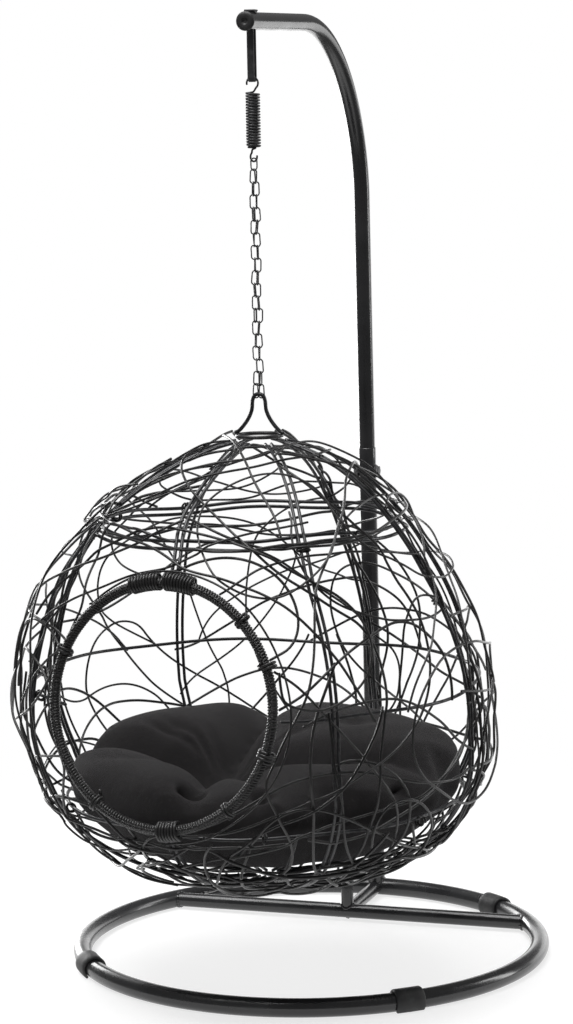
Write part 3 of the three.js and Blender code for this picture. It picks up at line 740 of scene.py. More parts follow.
# ---- hanging gear ----
def make_strap(steel):
    """A flat band with softened edges, down from the plate, round the fold and up again."""
    fold_z = STRAP_BOTTOM + STRAP_BEND + STRAP_THICKNESS / 2
    fold = [(0, HANG_Y + STRAP_BEND * math.cos(a), fold_z - STRAP_BEND * math.sin(a))
            for a in np.linspace(0, math.pi, 24)]
    legs = np.linspace(PLATE_BOTTOM, fold_z + 0.5, 16)
    near, far = HANG_Y - STRAP_BEND, HANG_Y + STRAP_BEND
    path = np.array([(0, far, z) for z in legs] + fold + [(0, near, z) for z in legs[::-1]])
    tangents = np.gradient(path, axis=0)
    tangents /= np.linalg.norm(tangents, axis=1)[:, None]
    across = np.array((1.0, 0.0, 0.0))
    up = np.cross(across, tangents)
    w, t, r = STRAP_WIDTH / 2, STRAP_THICKNESS / 2, 0.4
    section = ((w - r, -t), (w, -t + r), (w, t - r), (w - r, t),
               (-w + r, t), (-w, t - r), (-w, -t + r), (-w + r, -t))
    strap = Piece()
    strap.loft([[q + across * a + n * b for a, b in section] for q, n in zip(path, up)])
    strap.build("strap", "stand", steel, "hanger_strap", sharp=35)


def make_plate(steel):
    """The strap's head on the arm: a rounded plate on a low collar."""
    w, d, h = (s / 2 for s in PLATE_SIZE)
    corner = 1.2
    rings = []
    for inset, z in ((0.35, 0), (0, 0.3), (0, 2 * h - 0.5), (0.25, 2 * h - 0.12), (0.7, 2 * h)):
        ring = []
        for start in (0, 90, 180, 270):
            x = math.copysign(w - corner, math.cos(math.radians(start + 45)))
            y = math.copysign(d - corner, math.sin(math.radians(start + 45)))
            middle = np.array((x, HANG_Y + y, 0))
            for a in np.linspace(start, start + 90, 6):
                ring.append(middle + polar(corner - inset, a, PLATE_BOTTOM + z))
        rings.append(ring)
    plate = Piece()
    plate.loft(rings)
    collar = ((5.2, -1.3), (5.4, -0.9), (5.4, -0.2), (5.2, 0.1))
    plate.lathe(collar, np.array((0, HANG_Y, PLATE_BOTTOM)), (0, 0, 1), 32)
    plate.build("strap_head", "stand", steel, "hanger_plate", sharp=35)


def make_spring(steel):
    coil_radius = (SPRING_OUTER - SPRING_WIRE) / 2
    wire = SPRING_WIRE / 2
    top_z = STRAP_BOTTOM + STRAP_THICKNESS + 3 * wire + 0.1 - TOP_HOOK_RADIUS
    low_z = HOOK_BOTTOM + wire + BOTTOM_HOOK_RADIUS
    per_turn = 20
    top_hook = [(TOP_HOOK_RADIUS * math.cos(a), 0, top_z + TOP_HOOK_RADIUS * math.sin(a))
                for a in np.radians(np.linspace(192, -50, 26))]
    leave = [(0.6, 0.3, SPRING_TOP + 1.1), (-2.6, 1.4, SPRING_TOP + 0.5)]
    turns = np.arange(per_turn * SPRING_TURNS) / per_turn
    helix = [(-coil_radius * math.cos(a * math.tau), -coil_radius * math.sin(a * math.tau),
              SPRING_TOP - (SPRING_TOP - SPRING_BOTTOM) * a / SPRING_TURNS) for a in turns]
    enter = [(2.4, -1.2, SPRING_BOTTOM - 0.6), (-0.9, -0.4, SPRING_BOTTOM - 1.9)]
    bottom_hook = [(BOTTOM_HOOK_RADIUS * math.cos(a), 0, low_z + BOTTOM_HOOK_RADIUS * 1.35 * math.sin(a))
                   for a in np.radians(np.linspace(128, 372, 24))]
    path = smooth_path(top_hook + leave + helix + enter + bottom_hook, 0.75) + (0, HANG_Y, 0)
    spring = Piece()
    spring.tube(path, wire, 10)
    made = spring.build("coil_spring", None, steel, "spring", sharp=70)
    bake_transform(made)


def link_path(top, bottom, width, turn, taper=0.1):
    """Centreline of an oval link: two half rounds drawn apart, a little wider at its upper end."""
    radius = (width - LINK_WIRE) / 2
    down = np.asarray(bottom, float) - top
    axis = -unit(down)
    side = np.array((math.cos(math.radians(turn)), math.sin(math.radians(turn)), 0.0))
    side = unit(side - axis * (side @ axis))
    middle = (np.asarray(top, float) + bottom) / 2
    rise = np.linalg.norm(down) / 2 - radius - LINK_WIRE / 2
    points = []
    for a in round_angles(28) + 0.11:
        height = radius * math.sin(a) + math.copysign(rise, math.sin(a))
        points.append(middle + side * radius * (1 + taper * math.sin(a)) * math.cos(a) + axis * height)
    return even_steps(np.vstack((points, points[0])), 0.5, closed=True)


def make_chain(steel):
    seat = HOOK_BOTTOM + SPRING_WIRE + 0.3 + LINK_WIRE
    low = seat - TOP_LINK_LENGTH
    link = Piece()
    path = link_path((0, HANG_Y, seat), (0, HANG_Y, low), 7.4, 50)
    link.tube(path, LINK_WIRE / 2, 10, closed=True)
    link.build("top_link", "hook_link", steel, "hook_link", sharp=70)
    strand_top = low + LINK_WIRE + 1.2
    strand_bottom = BAIL_TOP - BAIL_WIRE - LINK_WIRE / 2 - 1.8
    overlap = 2 * LINK_WIRE + 0.1
    pitch = (strand_top - strand_bottom - overlap) / LINKS_PER_STRAND
    rng = np.random.default_rng(4)
    for side, name in ((-1, "left"), (1, "right")):
        chain = Piece()
        seats = [np.array((side * STRAND_X, HANG_Y - side * STRAND_Y, strand_top - k * pitch))
                 + (*rng.uniform(-0.7, 0.7, 2), 0) for k in range(LINKS_PER_STRAND + 1)]
        seats[0][:2] = (0.5 * side, HANG_Y - 0.4 * side)
        seats[-1][:2] = (2.6 * side, HANG_Y)
        for k in range(LINKS_PER_STRAND):
            last = k == LINKS_PER_STRAND - 1
            turn = 0 if last else 18 + 90 * ((k + (side > 0)) % 2) + rng.uniform(-26, 26)
            taper = 0.05 if last else rng.uniform(-0.2, 0.26)
            path = link_path(seats[k], seats[k + 1] - (0, 0, overlap), LINK_WIDTH, turn, taper)
            chain.tube(path, LINK_WIRE / 2, 9, closed=True, tone=float(rng.uniform()))
        made = chain.build(f"{name}_strand", None, steel, f"chain_{name}", sharp=70)
        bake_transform(made)


# ---- basket: its surface ----
def shell_numbers(z):
    upper = z >= 0
    return (RISE_POWER if upper else DROP_POWER), (BASKET_RISE if upper else BASKET_DROP)


def on_shell(point):
    """The point moved away from the basket's heart onto its outer surface, and the surface's normal."""
    v = np.asarray(point, float) - HEART
    flat = math.hypot(v[0], v[1])
    power, reach = shell_numbers(v[2])
    scale = ((flat / BASKET_RADIUS) ** power + (abs(v[2]) / reach) ** power) ** (-1 / power)
    v = v * scale
    flat = max(flat * scale, 1e-6)
    outward = (flat / BASKET_RADIUS) ** (power - 1) / BASKET_RADIUS / flat
    upward = (abs(v[2]) / reach) ** (power - 1) / reach
    return v + HEART, unit((v[0] * outward, v[1] * outward, math.copysign(upward, v[2])))


def shell_point(turn, lift, inset=0.0):
    """A point of the shell in direction turn (degrees about the axis) and lift (degrees above level)."""
    a, b = math.radians(turn), math.radians(lift)
    ray = np.array((math.cos(a) * math.cos(b), math.sin(a) * math.cos(b), math.sin(b)))
    point, normal = on_shell(HEART + ray)
    return point - normal * inset


def level_radius(z, inset):
    """Radius and height of the shell's section at a level, moved inwards."""
    power, reach = shell_numbers(z - BASKET_WIDEST_Z)
    flat = BASKET_RADIUS * (1 - (abs(z - BASKET_WIDEST_Z) / reach) ** power) ** (1 / power)
    point, normal = on_shell((flat, HANG_Y, z))
    moved = point - normal * inset
    return moved[0], moved[2]


DOOR_ANGLE = -90 + DOOR_TURN
DOOR_NORMAL = polar(math.cos(math.radians(DOOR_TILT)), DOOR_ANGLE, math.sin(math.radians(DOOR_TILT)))
DOOR_CENTRE = HEART + DOOR_NORMAL * DOOR_DISTANCE
DOOR_SIDE = unit(np.cross((0, 0, 1), DOOR_NORMAL))
DOOR_UP = np.cross(DOOR_NORMAL, DOOR_SIDE)


def round_door(a):
    """Direction from the door's middle, at an angle clockwise from its top as seen from inside."""
    return math.cos(a) * DOOR_UP + math.sin(a) * DOOR_SIDE


def door_arc(start, stop, radius=DOOR_RADIUS, proud=0.0):
    """Points of the door ring, between two angles in degrees."""
    angles = np.radians(np.arange(start, stop + 0.01, 1.5))
    return np.array([DOOR_CENTRE + DOOR_NORMAL * proud + radius * round_door(a) for a in angles])


def from_door(point):
    """A point's distance from the door's axis, how far it is in front of its plane, and the way out."""
    v = np.asarray(point) - DOOR_CENTRE
    front = v @ DOOR_NORMAL
    off_axis = v - front * DOOR_NORMAL
    away = np.linalg.norm(off_axis)
    return away, front, off_axis / away


def in_doorway(point, reach):
    """Whether a point is within reach of the door's axis, on the door's side of the basket."""
    away, front, _ = from_door(point)
    return front > -DOOR_DEPTH and away < reach


# ---- basket: frame wires ----
def rib_path(turn, sideways):
    """One wire of a rib pair, down the shell in the upright plane at turn."""
    a = math.radians(turn)
    side = np.array((-math.sin(a), math.cos(a), 0.0))
    lifts = np.linspace(*RIB_LIFTS, 90)
    return np.array([shell_point(turn, lift, RIB_INSET) + side * sideways for lift in lifts])


def rib_turn(k):
    """Direction of a rib pair; the two behind the seat stand a little apart."""
    return DOOR_ANGLE + k * 360 / PANELS + {4: -4.6, 5: 2.5}.get(k, 0.0)


# How far the basket's sides lean in x: levels and shifts. The lean starts between two distances from the
# door's axis.
LEAN = ((150, 205, 245, 330, 385, 430, 465, 495), (0, -1, -7.5, -10.5, -13, -10, -4.5, 0))
LEAN_FADE = (112, 167)


def leaning(points):
    """The basket's sides lean a little to the left; its crown, seat and doorway stay."""
    p = np.array(points, float)
    shift = np.interp(p[:, 2], *LEAN)
    away = p - DOOR_CENTRE
    front = away @ DOOR_NORMAL
    off_axis = np.linalg.norm(away - front[:, None] * DOOR_NORMAL, axis=1)
    start, stop = LEAN_FADE
    near = np.where(front > -70, np.clip((off_axis - start) / (stop - start), 0, 1), 1.0)
    p[:, 0] += shift * near * near * (3 - 2 * near)
    return p


def frame_wire(wire, name, paths, radius, *nodes, closed=False):
    """Wires of the basket's frame, each leaning with it."""
    piece = Piece()
    for path in paths:
        piece.tube(leaning(path), radius, 12, closed=closed)
    piece.build(name, "basket", wire, *nodes, sharp=60)


def make_ribs(wire):
    """Seven pairs, and a pair that the doorway parts in two. Returns every wire's path."""
    half_gap = 2.7
    paths = [rib_path(rib_turn(0), s * half_gap) for s in (-1, 1)]
    clear = [np.array([not in_doorway(q, DOOR_RADIUS + 1) for q in p]) for p in paths]
    laid = []
    for name, above in (("over", True), ("under", False)):
        runs = [p[keep & ((p[:, 2] > DOOR_CENTRE[2]) == above)] for p, keep in zip(paths, clear)]
        frame_wire(wire, f"rib_wires_{name}_door", runs, FRAME_WIRE / 2, f"rib_{name}_door")
        laid += runs
    for k in range(1, PANELS):
        paths = [rib_path(rib_turn(k), s * half_gap) for s in (-1, 1)]
        frame_wire(wire, f"rib_wires_{k}", paths, RIB_WIRE / 2, f"rib_{k}")
        laid += paths
    return laid


def make_hoops(wire):
    """Level wires, slightly wavy; the widest one stops at the doorway. Returns their paths."""
    laid = []
    for level, z in HOOP_LEVELS.items():
        paths = []
        for spread in ((-3.2, 3.2) if level == "upper" else (0.0,)):
            radius, height = level_radius(z + spread, HOOP_INSET)
            path = ring_arc(radius, height, HANG_Y, count=150)
            angles = round_angles(150)
            path[:, 2] += 1.6 * np.sin(3 * angles + spread + z) + 1.1 * np.sin(7 * angles + z)
            paths.append(path)
        if level == "widest":
            keep = np.array([not in_doorway(q, DOOR_RADIUS - 1) for q in path])
            start = int(np.argmax(keep & ~np.roll(keep, 1)))
            paths = [np.roll(path, -start, 0)[:keep.sum()]]
            frame_wire(wire, "hoop_wire_widest", paths, WIDEST_WIRE / 2, "hoop_widest")
        else:
            frame_wire(wire, f"hoop_wire_{level}", paths, FRAME_WIRE / 2, f"hoop_{level}", closed=True)
        laid += paths
    return laid


def make_crown(wire):
    crown = Piece()
    crown.tube(ring_arc(CROWN_RADIUS, CROWN_Z, HANG_Y, count=72), BAIL_WIRE / 2, 14, closed=True)
    crown.build("crown_wire", "basket", wire, "crown_ring", sharp=60)


def make_bail(wire):
    top = BAIL_TOP - BAIL_WIRE / 2 - BAIL_HALF_WIDTH
    foot = CROWN_Z + BAIL_WIRE / 2 + 0.6
    right = [(BAIL_HALF_WIDTH, top), (BAIL_HALF_WIDTH + 0.9, top + BAIL_HALF_WIDTH - 14),
             (BAIL_HALF_WIDTH + 5, top + BAIL_HALF_WIDTH - 23), (CROWN_RADIUS - 0.5, foot + 1.2),
             (CROWN_RADIUS + 2.5, foot)]
    over = [(BAIL_HALF_WIDTH * math.sin(a), top + BAIL_HALF_WIDTH * math.cos(a))
            for a in np.radians((-45, 0, 45))]
    outline = [(-x, z) for x, z in right[::-1]] + over + right
    bail = Piece()
    bail.tube(smooth_path([(x, HANG_Y, z) for x, z in outline], 1.2), BAIL_WIRE / 2, 14)
    bail.build("bail_wire", "basket", wire, "bail", sharp=60)


# ---- basket: rattan ----
STRAND = 1.24
STEP = 5.0
LACE_WAVES = 118
# Groups of wraps round the door ring: start, stop and the wraps' radius.
DOOR_WRAPS = ((-18, -3, 6.6), (-0.5, 15, 7.0), (169, 180, 7.8), (107, 111.5, 7.0), (42, 45, 6.4),
              (66, 69.5, 7.0), (292, 295, 6.6), (214, 217, 6.4), (140, 144, 6.4))
# Strands: how many, lowest and highest start, shortest and longest strand, and how much they bend.
OPEN_WEAVE = ((28, -70, 78, 560, 1100, 0.0064), (11, -60, 70, 300, 560, 0.0105), (9, 45, 78, 300, 520, 0.008))
LOW_WEAVE = (24, -68, -12, 300, 620, 0.008)
# Strands that follow a rib or a level: which one, and how many.
RIB_WEAVE = ((2, 1), (4, 4), (6, 1))
HOOP_WEAVE = ((455, 2), (425, 2), (215, 1), (172, 4), (140, 4), (116, 3))
DOOR_STRANDS = 7
CURL_CHANCE = 0.008
CURL = (0.012, 0.032)
DOOR_STEER = 14
CROWN_STEER = 34
TIE_REACH = 6
CROWD_REACH = 17
CROSSING_REACH = 4.6


def make_door_ring(rattan):
    """The ring's rod under two strands wound side by side, with a lacing strand along its outer side."""
    ring = Piece()
    rod = door_arc(0, 358.6)
    ring.tube(rod, 3.1, 10, closed=True, tone=0.1)
    for start, tone in ((0.0, 0.35), (math.pi, 0.65)):
        wound = coil(np.vstack((rod, rod[0])), 3.35, 5.0, start, 12, closed=True)
        ring.tube(wound, STRAND, 6, closed=True, tone=tone)
    for shift in (1, -1):
        lace = [DOOR_CENTRE + DOOR_NORMAL * (4.1 + 0.55 * shift * math.cos(2 * LACE_WAVES * a))
                + (DOOR_RADIUS + 0.4 + 1.25 * shift * math.sin(LACE_WAVES * a)) * round_door(a)
                for a in round_angles(1100)]
        ring.tube(lace, 0.72, 6, closed=True, tone=0.8)
    ring.build("door_ring_wrapped", "basket", rattan, "door_ring", sharp=75)
    return rod


def make_door_bindings(rattan):
    wraps = Piece()
    rng = np.random.default_rng(21)
    for start, stop, radius in DOOR_WRAPS:
        line = door_arc(start, stop, DOOR_RADIUS + 0.8, -1.2)
        path = coil(line, radius, 2.75, rng.uniform(0, 6), 14)
        path = path + rng.normal(0, 0.16, (len(path), 1)) * DOOR_NORMAL
        wraps.tube(smooth_path(path[::2], 1.2), STRAND, 8, tone=float(rng.uniform(0.2, 0.7)))
    wraps.build("door_ring_bindings", "basket", rattan, sharp=75)


def wander(rng, start, heading, length, bend, guide=None):
    """A strand laid over the shell at random: a list of surface points. guide(point, heading) may return a
    direction that the strand leans towards."""
    point, normal = on_shell(start)
    heading = unit(heading - normal * (heading @ normal))
    turning = rng.normal() * bend
    path = [point]
    while len(path) * STEP < length:
        turning += -turning * 0.05 + rng.normal() * bend * 0.3
        if rng.uniform() < CURL_CHANCE:
            turning = math.copysign(rng.uniform(*CURL), rng.normal())
        side = np.cross(normal, heading)
        heading = unit(heading + side * turning * STEP)
        if guide is not None:
            heading = unit(heading + guide(point, heading))
        away, front, outwards = from_door(point)
        if front > -DOOR_DEPTH and away < DOOR_MARGIN + DOOR_STEER:
            inward_speed = -(heading @ outwards)
            if inward_speed > 0:
                nearness = min(1.0, (DOOR_MARGIN + DOOR_STEER - away) / DOOR_STEER)
                heading = unit(heading + outwards * inward_speed * nearness)
        crown = point - HEART
        if crown[2] > 0 and math.hypot(crown[0], crown[1]) < CROWN_STEER:
            outwards = unit((crown[0], crown[1], 0))
            heading = unit(heading + outwards * max(0.0, -(heading @ outwards)))
        point, normal = on_shell(point + heading * STEP)
        away, front, outwards = from_door(point)
        if front > -DOOR_DEPTH and away < DOOR_MARGIN:
            point, normal = on_shell(point + outwards * (DOOR_MARGIN - away))
        heading = unit(heading - normal * (heading @ normal))
        path.append(point)
    return np.array(path)


def random_place(rng, low, high):
    """A random place on the shell, outside the doorway, with a random heading."""
    while True:
        lift = math.degrees(math.asin(rng.uniform(math.sin(math.radians(low)), math.sin(math.radians(high)))))
        point = shell_point(rng.uniform(0, 360), lift)
        if not in_doorway(point, DOOR_MARGIN):
            return point, rng.normal(size=3)


def towards_rib(turn, strength):
    """Leans a strand towards the upright plane at turn."""
    def lean(point, heading):
        a = math.radians(turn)
        across = np.array((-math.sin(a), math.cos(a), 0.0))
        off = (point - HEART) @ across
        return -across * (strength * off + 0.35 * (heading @ across)) * 0.35
    return lean


def towards_level(z, strength):
    """Leans a strand towards a level."""
    def lean(point, heading):
        return np.array((0, 0, -(strength * (point[2] - z) + 0.35 * heading[2]) * 0.35))
    return lean


def held(point):
    """Whether a strand could be tied here: beside a rib, a hoop or the door ring."""
    v = point - HEART
    turn = math.degrees(math.atan2(v[1], v[0]))
    across = min(abs((turn - rib_turn(k) + 180) % 360 - 180) for k in range(PANELS))
    by_rib = math.radians(across) * math.hypot(v[0], v[1]) < TIE_REACH
    by_hoop = any(abs(point[2] - z) < TIE_REACH for z in HOOP_LEVELS.values())
    return by_rib or by_hoop or in_doorway(point, DOOR_MARGIN + 4)


def tied(path):
    """The strand cut back at both ends to where something can hold it."""
    first, last = 0, len(path)
    while last - first > 12 and not held(path[first]):
        first += 1
    while last - first > 12 and not held(path[last - 1]):
        last -= 1
    return path[first:last]


class Cover:
    """Remembers where strands already lie and picks, among several, the one in the emptiest places."""

    def __init__(self):
        self.laid = np.empty((0, 3))

    def crowding(self, path):
        if not len(self.laid):
            return 0.0
        gaps = np.linalg.norm(path[::4, None, :] - self.laid[None, :, :], axis=2)
        return float(np.exp(-((gaps / CROWD_REACH) ** 2)).sum(1).mean())

    def choose(self, paths):
        best = min(paths, key=self.crowding)
        self.laid = np.vstack((self.laid, best[::2]))
        return best


def lay_strands():
    """Every strand of the weave: (points, inset, radius, group)."""
    rng = np.random.default_rng(2046)
    strands = []
    cover = Cover()

    def add(path, inset, group):
        thickness = rng.uniform(0.76, 0.98) if group == "open_weave" else rng.uniform(0.92, 1.12)
        strands.append([tied(path), inset + rng.normal() * 0.6, STRAND * thickness, group])

    def fill(tries, low, high, shortest, longest, bend):
        """The best of several strands that start at random places."""
        return cover.choose([
            tied(wander(rng, *random_place(rng, low, high), rng.uniform(shortest, longest), bend))
            for _ in range(tries)
        ])

    for count, *shape in OPEN_WEAVE:
        for _ in range(count):
            add(fill(7, *shape), rng.choice((-1.0, 2.0, 5.0)), "open_weave")
    for k, count in RIB_WEAVE:
        turn = rib_turn(k)
        for _ in range(count):
            offset = turn + rng.uniform(-1.8, 1.8)
            down = rng.uniform() < 0.5
            start = shell_point(offset, rng.uniform(60, 76) if down else rng.uniform(-70, -50))
            lean = towards_rib(offset, 0.02)
            heading = np.array((0, 0, -1.0 if down else 1.0))
            path = wander(rng, start, heading, rng.uniform(380, 560), 0.004, lean)
            add(path, rng.choice((0.0, 3.0)), "rib_weave")
    for z, count in HOOP_WEAVE:
        for _ in range(count):
            turn = rng.uniform(0, 360)
            radius, _ = level_radius(z, 0)
            start = polar(radius, turn, z, HANG_Y)
            heading = polar(1.0, turn + 90 * rng.choice((-1, 1)), 0.0)
            path = wander(rng, start, heading, rng.uniform(400, 800), 0.006, towards_level(z, 0.006))
            add(path, rng.choice((1.0, 4.0)), "hoop_weave")
    count, *shape = LOW_WEAVE
    for _ in range(count):
        add(fill(6, *shape), rng.choice((2.0, 5.0, 8.0)), "low_weave")
    for _ in range(DOOR_STRANDS):
        angle = rng.uniform(0, 360)
        rim = door_arc(angle, angle, DOOR_MARGIN + 2)[0]
        outwards = unit(rim - DOOR_CENTRE)
        heading = outwards + rng.uniform(-0.9, 0.9) * np.cross(DOOR_NORMAL, outwards)
        add(wander(rng, rim, heading, rng.uniform(250, 600), 0.0065), rng.choice((0.0, 3.0)), "open_weave")
    return strands


def sway(rng, count, size):
    """A slow wander in and out along a strand."""
    reach = 12
    noise = rng.normal(size=count + reach)
    kernel = np.hanning(reach + 1)
    return size * np.convolve(noise, kernel / np.linalg.norm(kernel), "valid")


def search_tree(points):
    tree = KDTree(len(points))
    for i, q in enumerate(points):
        tree.insert(q, i)
    tree.balance()
    return tree


def interlace(strands, fixed, rounds=14):
    """Moves strands in and out where they cross, to pass over and under each other and the frame."""
    owner = np.concatenate([np.full(len(s[0]), i) for i, s in enumerate(strands)])
    surface = np.vstack([s[0] for s in strands])
    normals = np.array([on_shell(p)[1] for p in surface])
    rng = np.random.default_rng(31)
    inset = np.concatenate([s[1] - 0.8 + sway(rng, len(s[0]), 2.0) for s in strands])
    radius = np.concatenate([np.full(len(s[0]), s[2]) for s in strands])
    lowest = np.interp(surface[:, 2], (150, 260), (-2.0, -4.2))
    solid = [(q, r) for path, r in fixed for q in even_steps(path, STEP * 0.7)]
    tree_fixed = search_tree([q for q, _ in solid])
    for _ in range(rounds):
        place = surface - normals * inset[:, None]
        tree = search_tree(place)
        push = np.zeros(len(place))
        for i, q in enumerate(place):
            for _, j, _ in tree.find_range(q, CROSSING_REACH):
                if owner[j] == owner[i]:
                    continue
                gap = inset[i] - inset[j]
                need = radius[i] + radius[j] + 0.15
                if abs(gap) < need:
                    way = gap if abs(gap) > 1e-3 else owner[i] - owner[j]
                    push[i] += math.copysign(0.5 * (need - abs(gap)), way)
            for co, j, distance in tree_fixed.find_range(q, CROSSING_REACH):
                need = radius[i] + solid[j][1] + 0.1
                side = (np.array(co) - q) @ normals[i]
                if distance < need + 0.4:
                    way = side if inset[i] < RIB_INSET + 3 else -side
                    push[i] -= math.copysign(0.4 * (need - min(abs(side), need)), way)
        inset += np.clip(push, -1.6, 1.6)
        for i in range(len(strands)):
            own = owner == i
            line = inset[own]
            padded = np.concatenate((line[:1], line, line[-1:]))
            inset[own] = padded[:-2] * 0.25 + padded[1:-1] * 0.5 + padded[2:] * 0.25
        inset = np.clip(inset, lowest, 11.0)
    place = surface - normals * inset[:, None]
    return [place[owner == i] for i in range(len(strands))]


def make_weave(rattan, fixed):
    """The strands as one piece for each group; those low down are darker, by painted shade."""
    strands = lay_strands()
    rng = np.random.default_rng(77)
    groups = {}
    for (_, _, radius, group), path in zip(strands, interlace(strands, fixed)):
        piece = groups.setdefault(group, Piece())
        # Painted shade: the lower a strand lies, the darker its tone, standing in for the shade low in the
        # basket.
        painted_shade = float(np.clip((235 - path[:, 2].mean()) / 70, 0, 1))
        tone = float(rng.uniform(0.35, 1.0)) * (1 - painted_shade)
        piece.tube(smooth_path(leaning(path), 4.0), radius, 8, tone=tone)
    panels = {"open_weave": (1, 2, 3), "rib_weave": (4, 5), "hoop_weave": (6, 7), "low_weave": (8,)}
    for group, piece in groups.items():
        piece.build(group, "basket", rattan, *[f"woven_panel_{k}" for k in panels[group]], sharp=75)


def make_bindings(rattan):
    """Short tight wraps that bind strands to the ribs and hoops."""
    rng = np.random.default_rng(9)
    bindings = Piece()

    def bind(line, wide, thin):
        if in_doorway(line[0], DOOR_MARGIN + 12):
            return
        path = coil(line, 1.0, 3.0, rng.uniform(0, 6), 12)
        along = unit(line[-1] - line[0])
        normal = on_shell(line[0])[1]
        axes = np.array((along, np.cross(normal, along), normal))
        middle = axes @ line[0]
        flat = middle + (path @ axes.T - middle) * (1, wide, thin)
        bindings.tube(smooth_path(leaning(flat @ axes), 1.5), STRAND * 0.9, 8, tone=float(rng.uniform()))

    for k in range(1, PANELS):
        lift = rng.uniform(-55, 60)
        steps = np.linspace(0, rng.uniform(0.8, 1.7), 8)
        bind(np.array([shell_point(rib_turn(k), lift + d, RIB_INSET) for d in steps]), 5.6, 2.9)
    for level in ("upper", "lower", "bottom", "widest"):
        for _ in range(4):
            turn = rng.uniform(0, 360)
            radius, height = level_radius(HOOP_LEVELS[level], HOOP_INSET - 2)
            span = math.degrees(rng.uniform(3, 6) / radius)
            line = [polar(radius, turn + a, height, HANG_Y) for a in np.linspace(0, span, 8)]
            bind(np.array(line), 4.0, 3.4)
    bindings.build("bindings", "basket", rattan, sharp=75)


# ---- cushion ----
TUFT = np.array((-33.0, HANG_Y - 32))
# Lobes: first and last direction from the tuft, and height. Pinches: place from the axis, width and depth.
LOBES = ((92, 172, 241), (172, 281, 230), (281, 311, 219), (311, 359, 223), (359, 452, 239))
PINCHES = (((-17, -146), 9, 24), ((45, -146), 8, 24), ((152, -84), 8, 20),
           ((-95, 10), 15, 5), ((70, 45), 16, 5))
# Creases in the outline: their directions and how far they draw in.
CREASES = ((92, 0.05), (172, 0.05), (281, 0.08), (309, 0.15), (358, 0.11))
CUSHION_RIM_Z = 198
CUSHION_MIDDLE_Z = 228
TUFT_Z = 181
BOTTOM_LEVELS = (186, 172, 156, 142, 130, 121)
VOXEL = 5


def cushion_top(x, y):
    """Height of the cushion's top: five lobes, higher at the back, that meet in an off-centre tuft."""
    v = np.array((x, y)) - TUFT
    reach = np.linalg.norm(v)
    turn = math.degrees(math.atan2(v[1], v[0])) % 360
    turn += 360 * (turn < LOBES[0][0])
    from_axis = math.hypot(x, y - HANG_Y) / CUSHION_RADIUS
    start, stop, lobe_top = next(lobe for lobe in LOBES if lobe[0] <= turn <= lobe[1])
    sideways = reach * math.sin(math.radians(min(turn - start, stop - turn, 90)))
    groove = math.exp(-((sideways / 15) ** 1.25)) * (0.35 + 0.65 * math.exp(-((reach - 45) / 70) ** 2))
    own = lobe_top + (CUSHION_MIDDLE_Z - lobe_top) * math.exp(-((sideways / 16) ** 2))
    crown = (1 - min(1.0, from_axis * 0.985) ** 7) ** 0.52
    pit = math.exp(-((reach / 40) ** 1.6))
    high = own - (own - CUSHION_RIM_Z) * (1 - crown)
    return high - (high - TUFT_Z) * (1 - (1 - pit) * (1 - 0.7 * groove))


def make_cushion(fabric):
    bottom = [level_radius(z, CUSHION_CLEAR + 1) for z in BOTTOM_LEVELS]
    turns = np.linspace(0, 360, 120, endpoint=False)
    rings = []
    for share in np.linspace(0.02, 1, 30):
        ring = []
        for t in turns:
            p = polar(CUSHION_RADIUS * 0.965 * share * (1 - rim_pull(t) * share ** 3), t, 0, HANG_Y)
            p[2] = cushion_top(p[0], p[1]) - 3
            ring.append(p)
        rings.append(ring)
    for radius, z in bottom:
        outer = min(radius, CUSHION_RADIUS * 0.975)
        rings.append([polar(outer * (1 - rim_pull(t) * 0.5), t, z, HANG_Y) for t in turns])
    floor_z = bottom[-1][1]
    for share in (0.8, 0.5, 0.2, 0.02):
        rings.append([polar(bottom[-1][0] * share, t, floor_z - 6 * (1 - share), HANG_Y) for t in turns])
    piece = Piece()
    piece.loft(rings[::-1])
    cushion = piece.build("seat_cushion", None, fabric, sharp=180)
    apply_modifier(cushion, "REMESH", mode="VOXEL", voxel_size=VOXEL * MM)
    apply_modifier(cushion, "SMOOTH", factor=0.5, iterations=4)
    inflate(cushion)
    crumple(cushion)
    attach(cushion, "basket")
    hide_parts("cushion")


def rim_pull(turn):
    """How far the outline draws in at the creases."""
    pull = 0.0
    for c, strength in CREASES:
        off = abs((turn - c + 180) % 360 - 180)
        pull = max(pull, strength * math.exp(-((off / 7) ** 2)))
    return pull


def apply_modifier(obj, kind, **values):
    modifier = obj.modifiers.new(kind.lower(), kind)
    for key, value in values.items():
        setattr(modifier, key, value)
    with bpy.context.temp_override(object=obj, active_object=obj, selected_objects=[obj]):
        bpy.ops.object.modifier_apply(modifier=modifier.name)


def coordinates(mesh):
    flat = np.empty(len(mesh.vertices) * 3)
    mesh.vertices.foreach_get("co", flat)
    return flat.reshape(-1, 3)


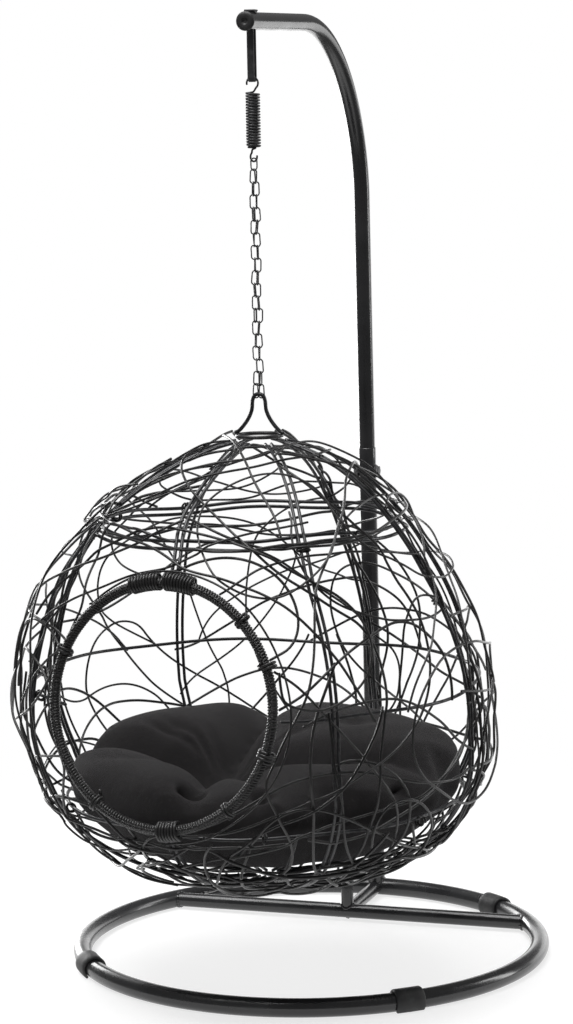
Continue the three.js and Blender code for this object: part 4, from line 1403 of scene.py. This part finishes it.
def inflate(obj):
    """Blows the cover up from inside; the tuft and the underside are held."""
    start = coordinates(obj.data)
    normals = np.array([v.normal for v in obj.data.vertices])
    ring = start / MM - ORIGIN
    group = obj.vertex_groups.new(name="stitched")
    for i, p in enumerate(ring):
        reach = math.hypot(p[0] - TUFT[0], p[1] - TUFT[1])
        if normals[i][2] > 0.1 and reach < 10 or normals[i][2] < -0.5:
            group.add([i], 1.0, "REPLACE")
    cloth = obj.modifiers.new("cloth", "CLOTH")
    settings = cloth.settings
    settings.quality = 5
    settings.mass = 0.3
    settings.use_pressure = True
    settings.uniform_pressure_force = 4
    settings.effector_weights.gravity = 0
    settings.vertex_group_mass = "stitched"
    settings.tension_stiffness = 25
    settings.bending_stiffness = 2.0
    cloth.point_cache.frame_start = 1
    cloth.point_cache.frame_end = 20
    for number in range(1, 21):
        bpy.context.scene.frame_set(number)
    shaped = obj.evaluated_get(bpy.context.evaluated_depsgraph_get())
    end = coordinates(shaped.data)
    obj.modifiers.remove(cloth)
    moved = end - start
    size = np.linalg.norm(moved, axis=1)
    limit = np.where(normals[:, 2] > 0.0, 10 * MM, 2.5 * MM)
    moved *= np.minimum(1, limit / np.maximum(size, 1e-9))[:, None]
    obj.data.vertices.foreach_set("co", (start + moved).ravel())
    obj.data.update()


def crumple(obj):
    """Soft folds that run into the tuft, and shallow dents, then one subdivision."""
    apply_modifier(obj, "SUBSURF", levels=1)
    place = coordinates(obj.data)
    normals = np.array([v.normal for v in obj.data.vertices])
    ring = place / MM - ORIGIN
    v = ring[:, :2] - TUFT
    reach = np.linalg.norm(v, axis=1)
    turn = np.arctan2(v[:, 1], v[:, 0])
    folds = np.zeros(len(ring))
    rng = np.random.default_rng(5)
    for _ in range(15):
        centre, width = rng.uniform(-math.pi, math.pi), rng.uniform(0.05, 0.13)
        near, far = rng.uniform(12, 40), rng.uniform(60, 135)
        off = (turn - centre + 0.3 * np.sin(reach / 40 + centre) + math.pi) % math.tau - math.pi
        window = np.clip((reach - near) / 15, 0, 1) * np.clip((far - reach) / 45, 0, 1)
        folds += rng.uniform(-3.6, 2.2) * np.exp(-((off / width) ** 2)) * window
    dents = 1.3 * np.sin(ring[:, 0] / 21 + 1.7 * np.sin(ring[:, 1] / 33)) * np.sin(ring[:, 1] / 26 + 0.8)
    for spot, width, depth in PINCHES:
        away = np.linalg.norm(ring[:, :2] - (spot[0], spot[1] + HANG_Y), axis=1)
        folds -= depth * np.exp(-((away / width) ** 2))
    upper = np.clip(normals[:, 2] * 1.5, 0, 1)
    place += normals * ((folds + dents) * upper)[:, None] * MM
    obj.data.vertices.foreach_set("co", place.ravel())
    obj.data.update()
    obj.data.shade_smooth()


# ---- everything ----
make_camera()
make_world()
make_lights()
make_floor()
paint = paint_material()
steel = wire_material("hardware", (0.04, 0.04, 0.042), (0.085, 0.085, 0.088), 0.38, 0.52, 0.3)
chain_steel = wire_material("chain_steel", (0.04, 0.04, 0.042), (0.1, 0.1, 0.103), 0.28, 0.42, 0.4)
basket_wire = wire_material("basket_wire", (0.018, 0.018, 0.02), (0.045, 0.045, 0.047), 0.24, 0.4, 0.1)
plastic = clip_material()
rattan = rattan_material()
fabric = fabric_material()

make_low_tubes(paint)
make_post(paint)
make_pole(paint)
make_welds(paint)
make_bolt(steel)
make_clips(plastic)
make_arm_cap(plastic)
make_strap(steel)
make_plate(steel)
make_spring(chain_steel)
make_chain(chain_steel)
frame_wires = make_ribs(basket_wire) + make_hoops(basket_wire)
make_crown(basket_wire)
make_bail(basket_wire)
door_rod = make_door_ring(rattan)
make_door_bindings(rattan)

# What the weave passes over and under: paths and the radius kept free round them.
crown_path = ring_arc(CROWN_RADIUS, CROWN_Z, HANG_Y, count=40)
obstacles = [(path, 1.7) for path in frame_wires] + [(crown_path, BAIL_WIRE / 2 + 0.4), (door_rod, 4.6)]
make_weave(rattan, obstacles)
make_bindings(rattan)
make_cushion(fabric)
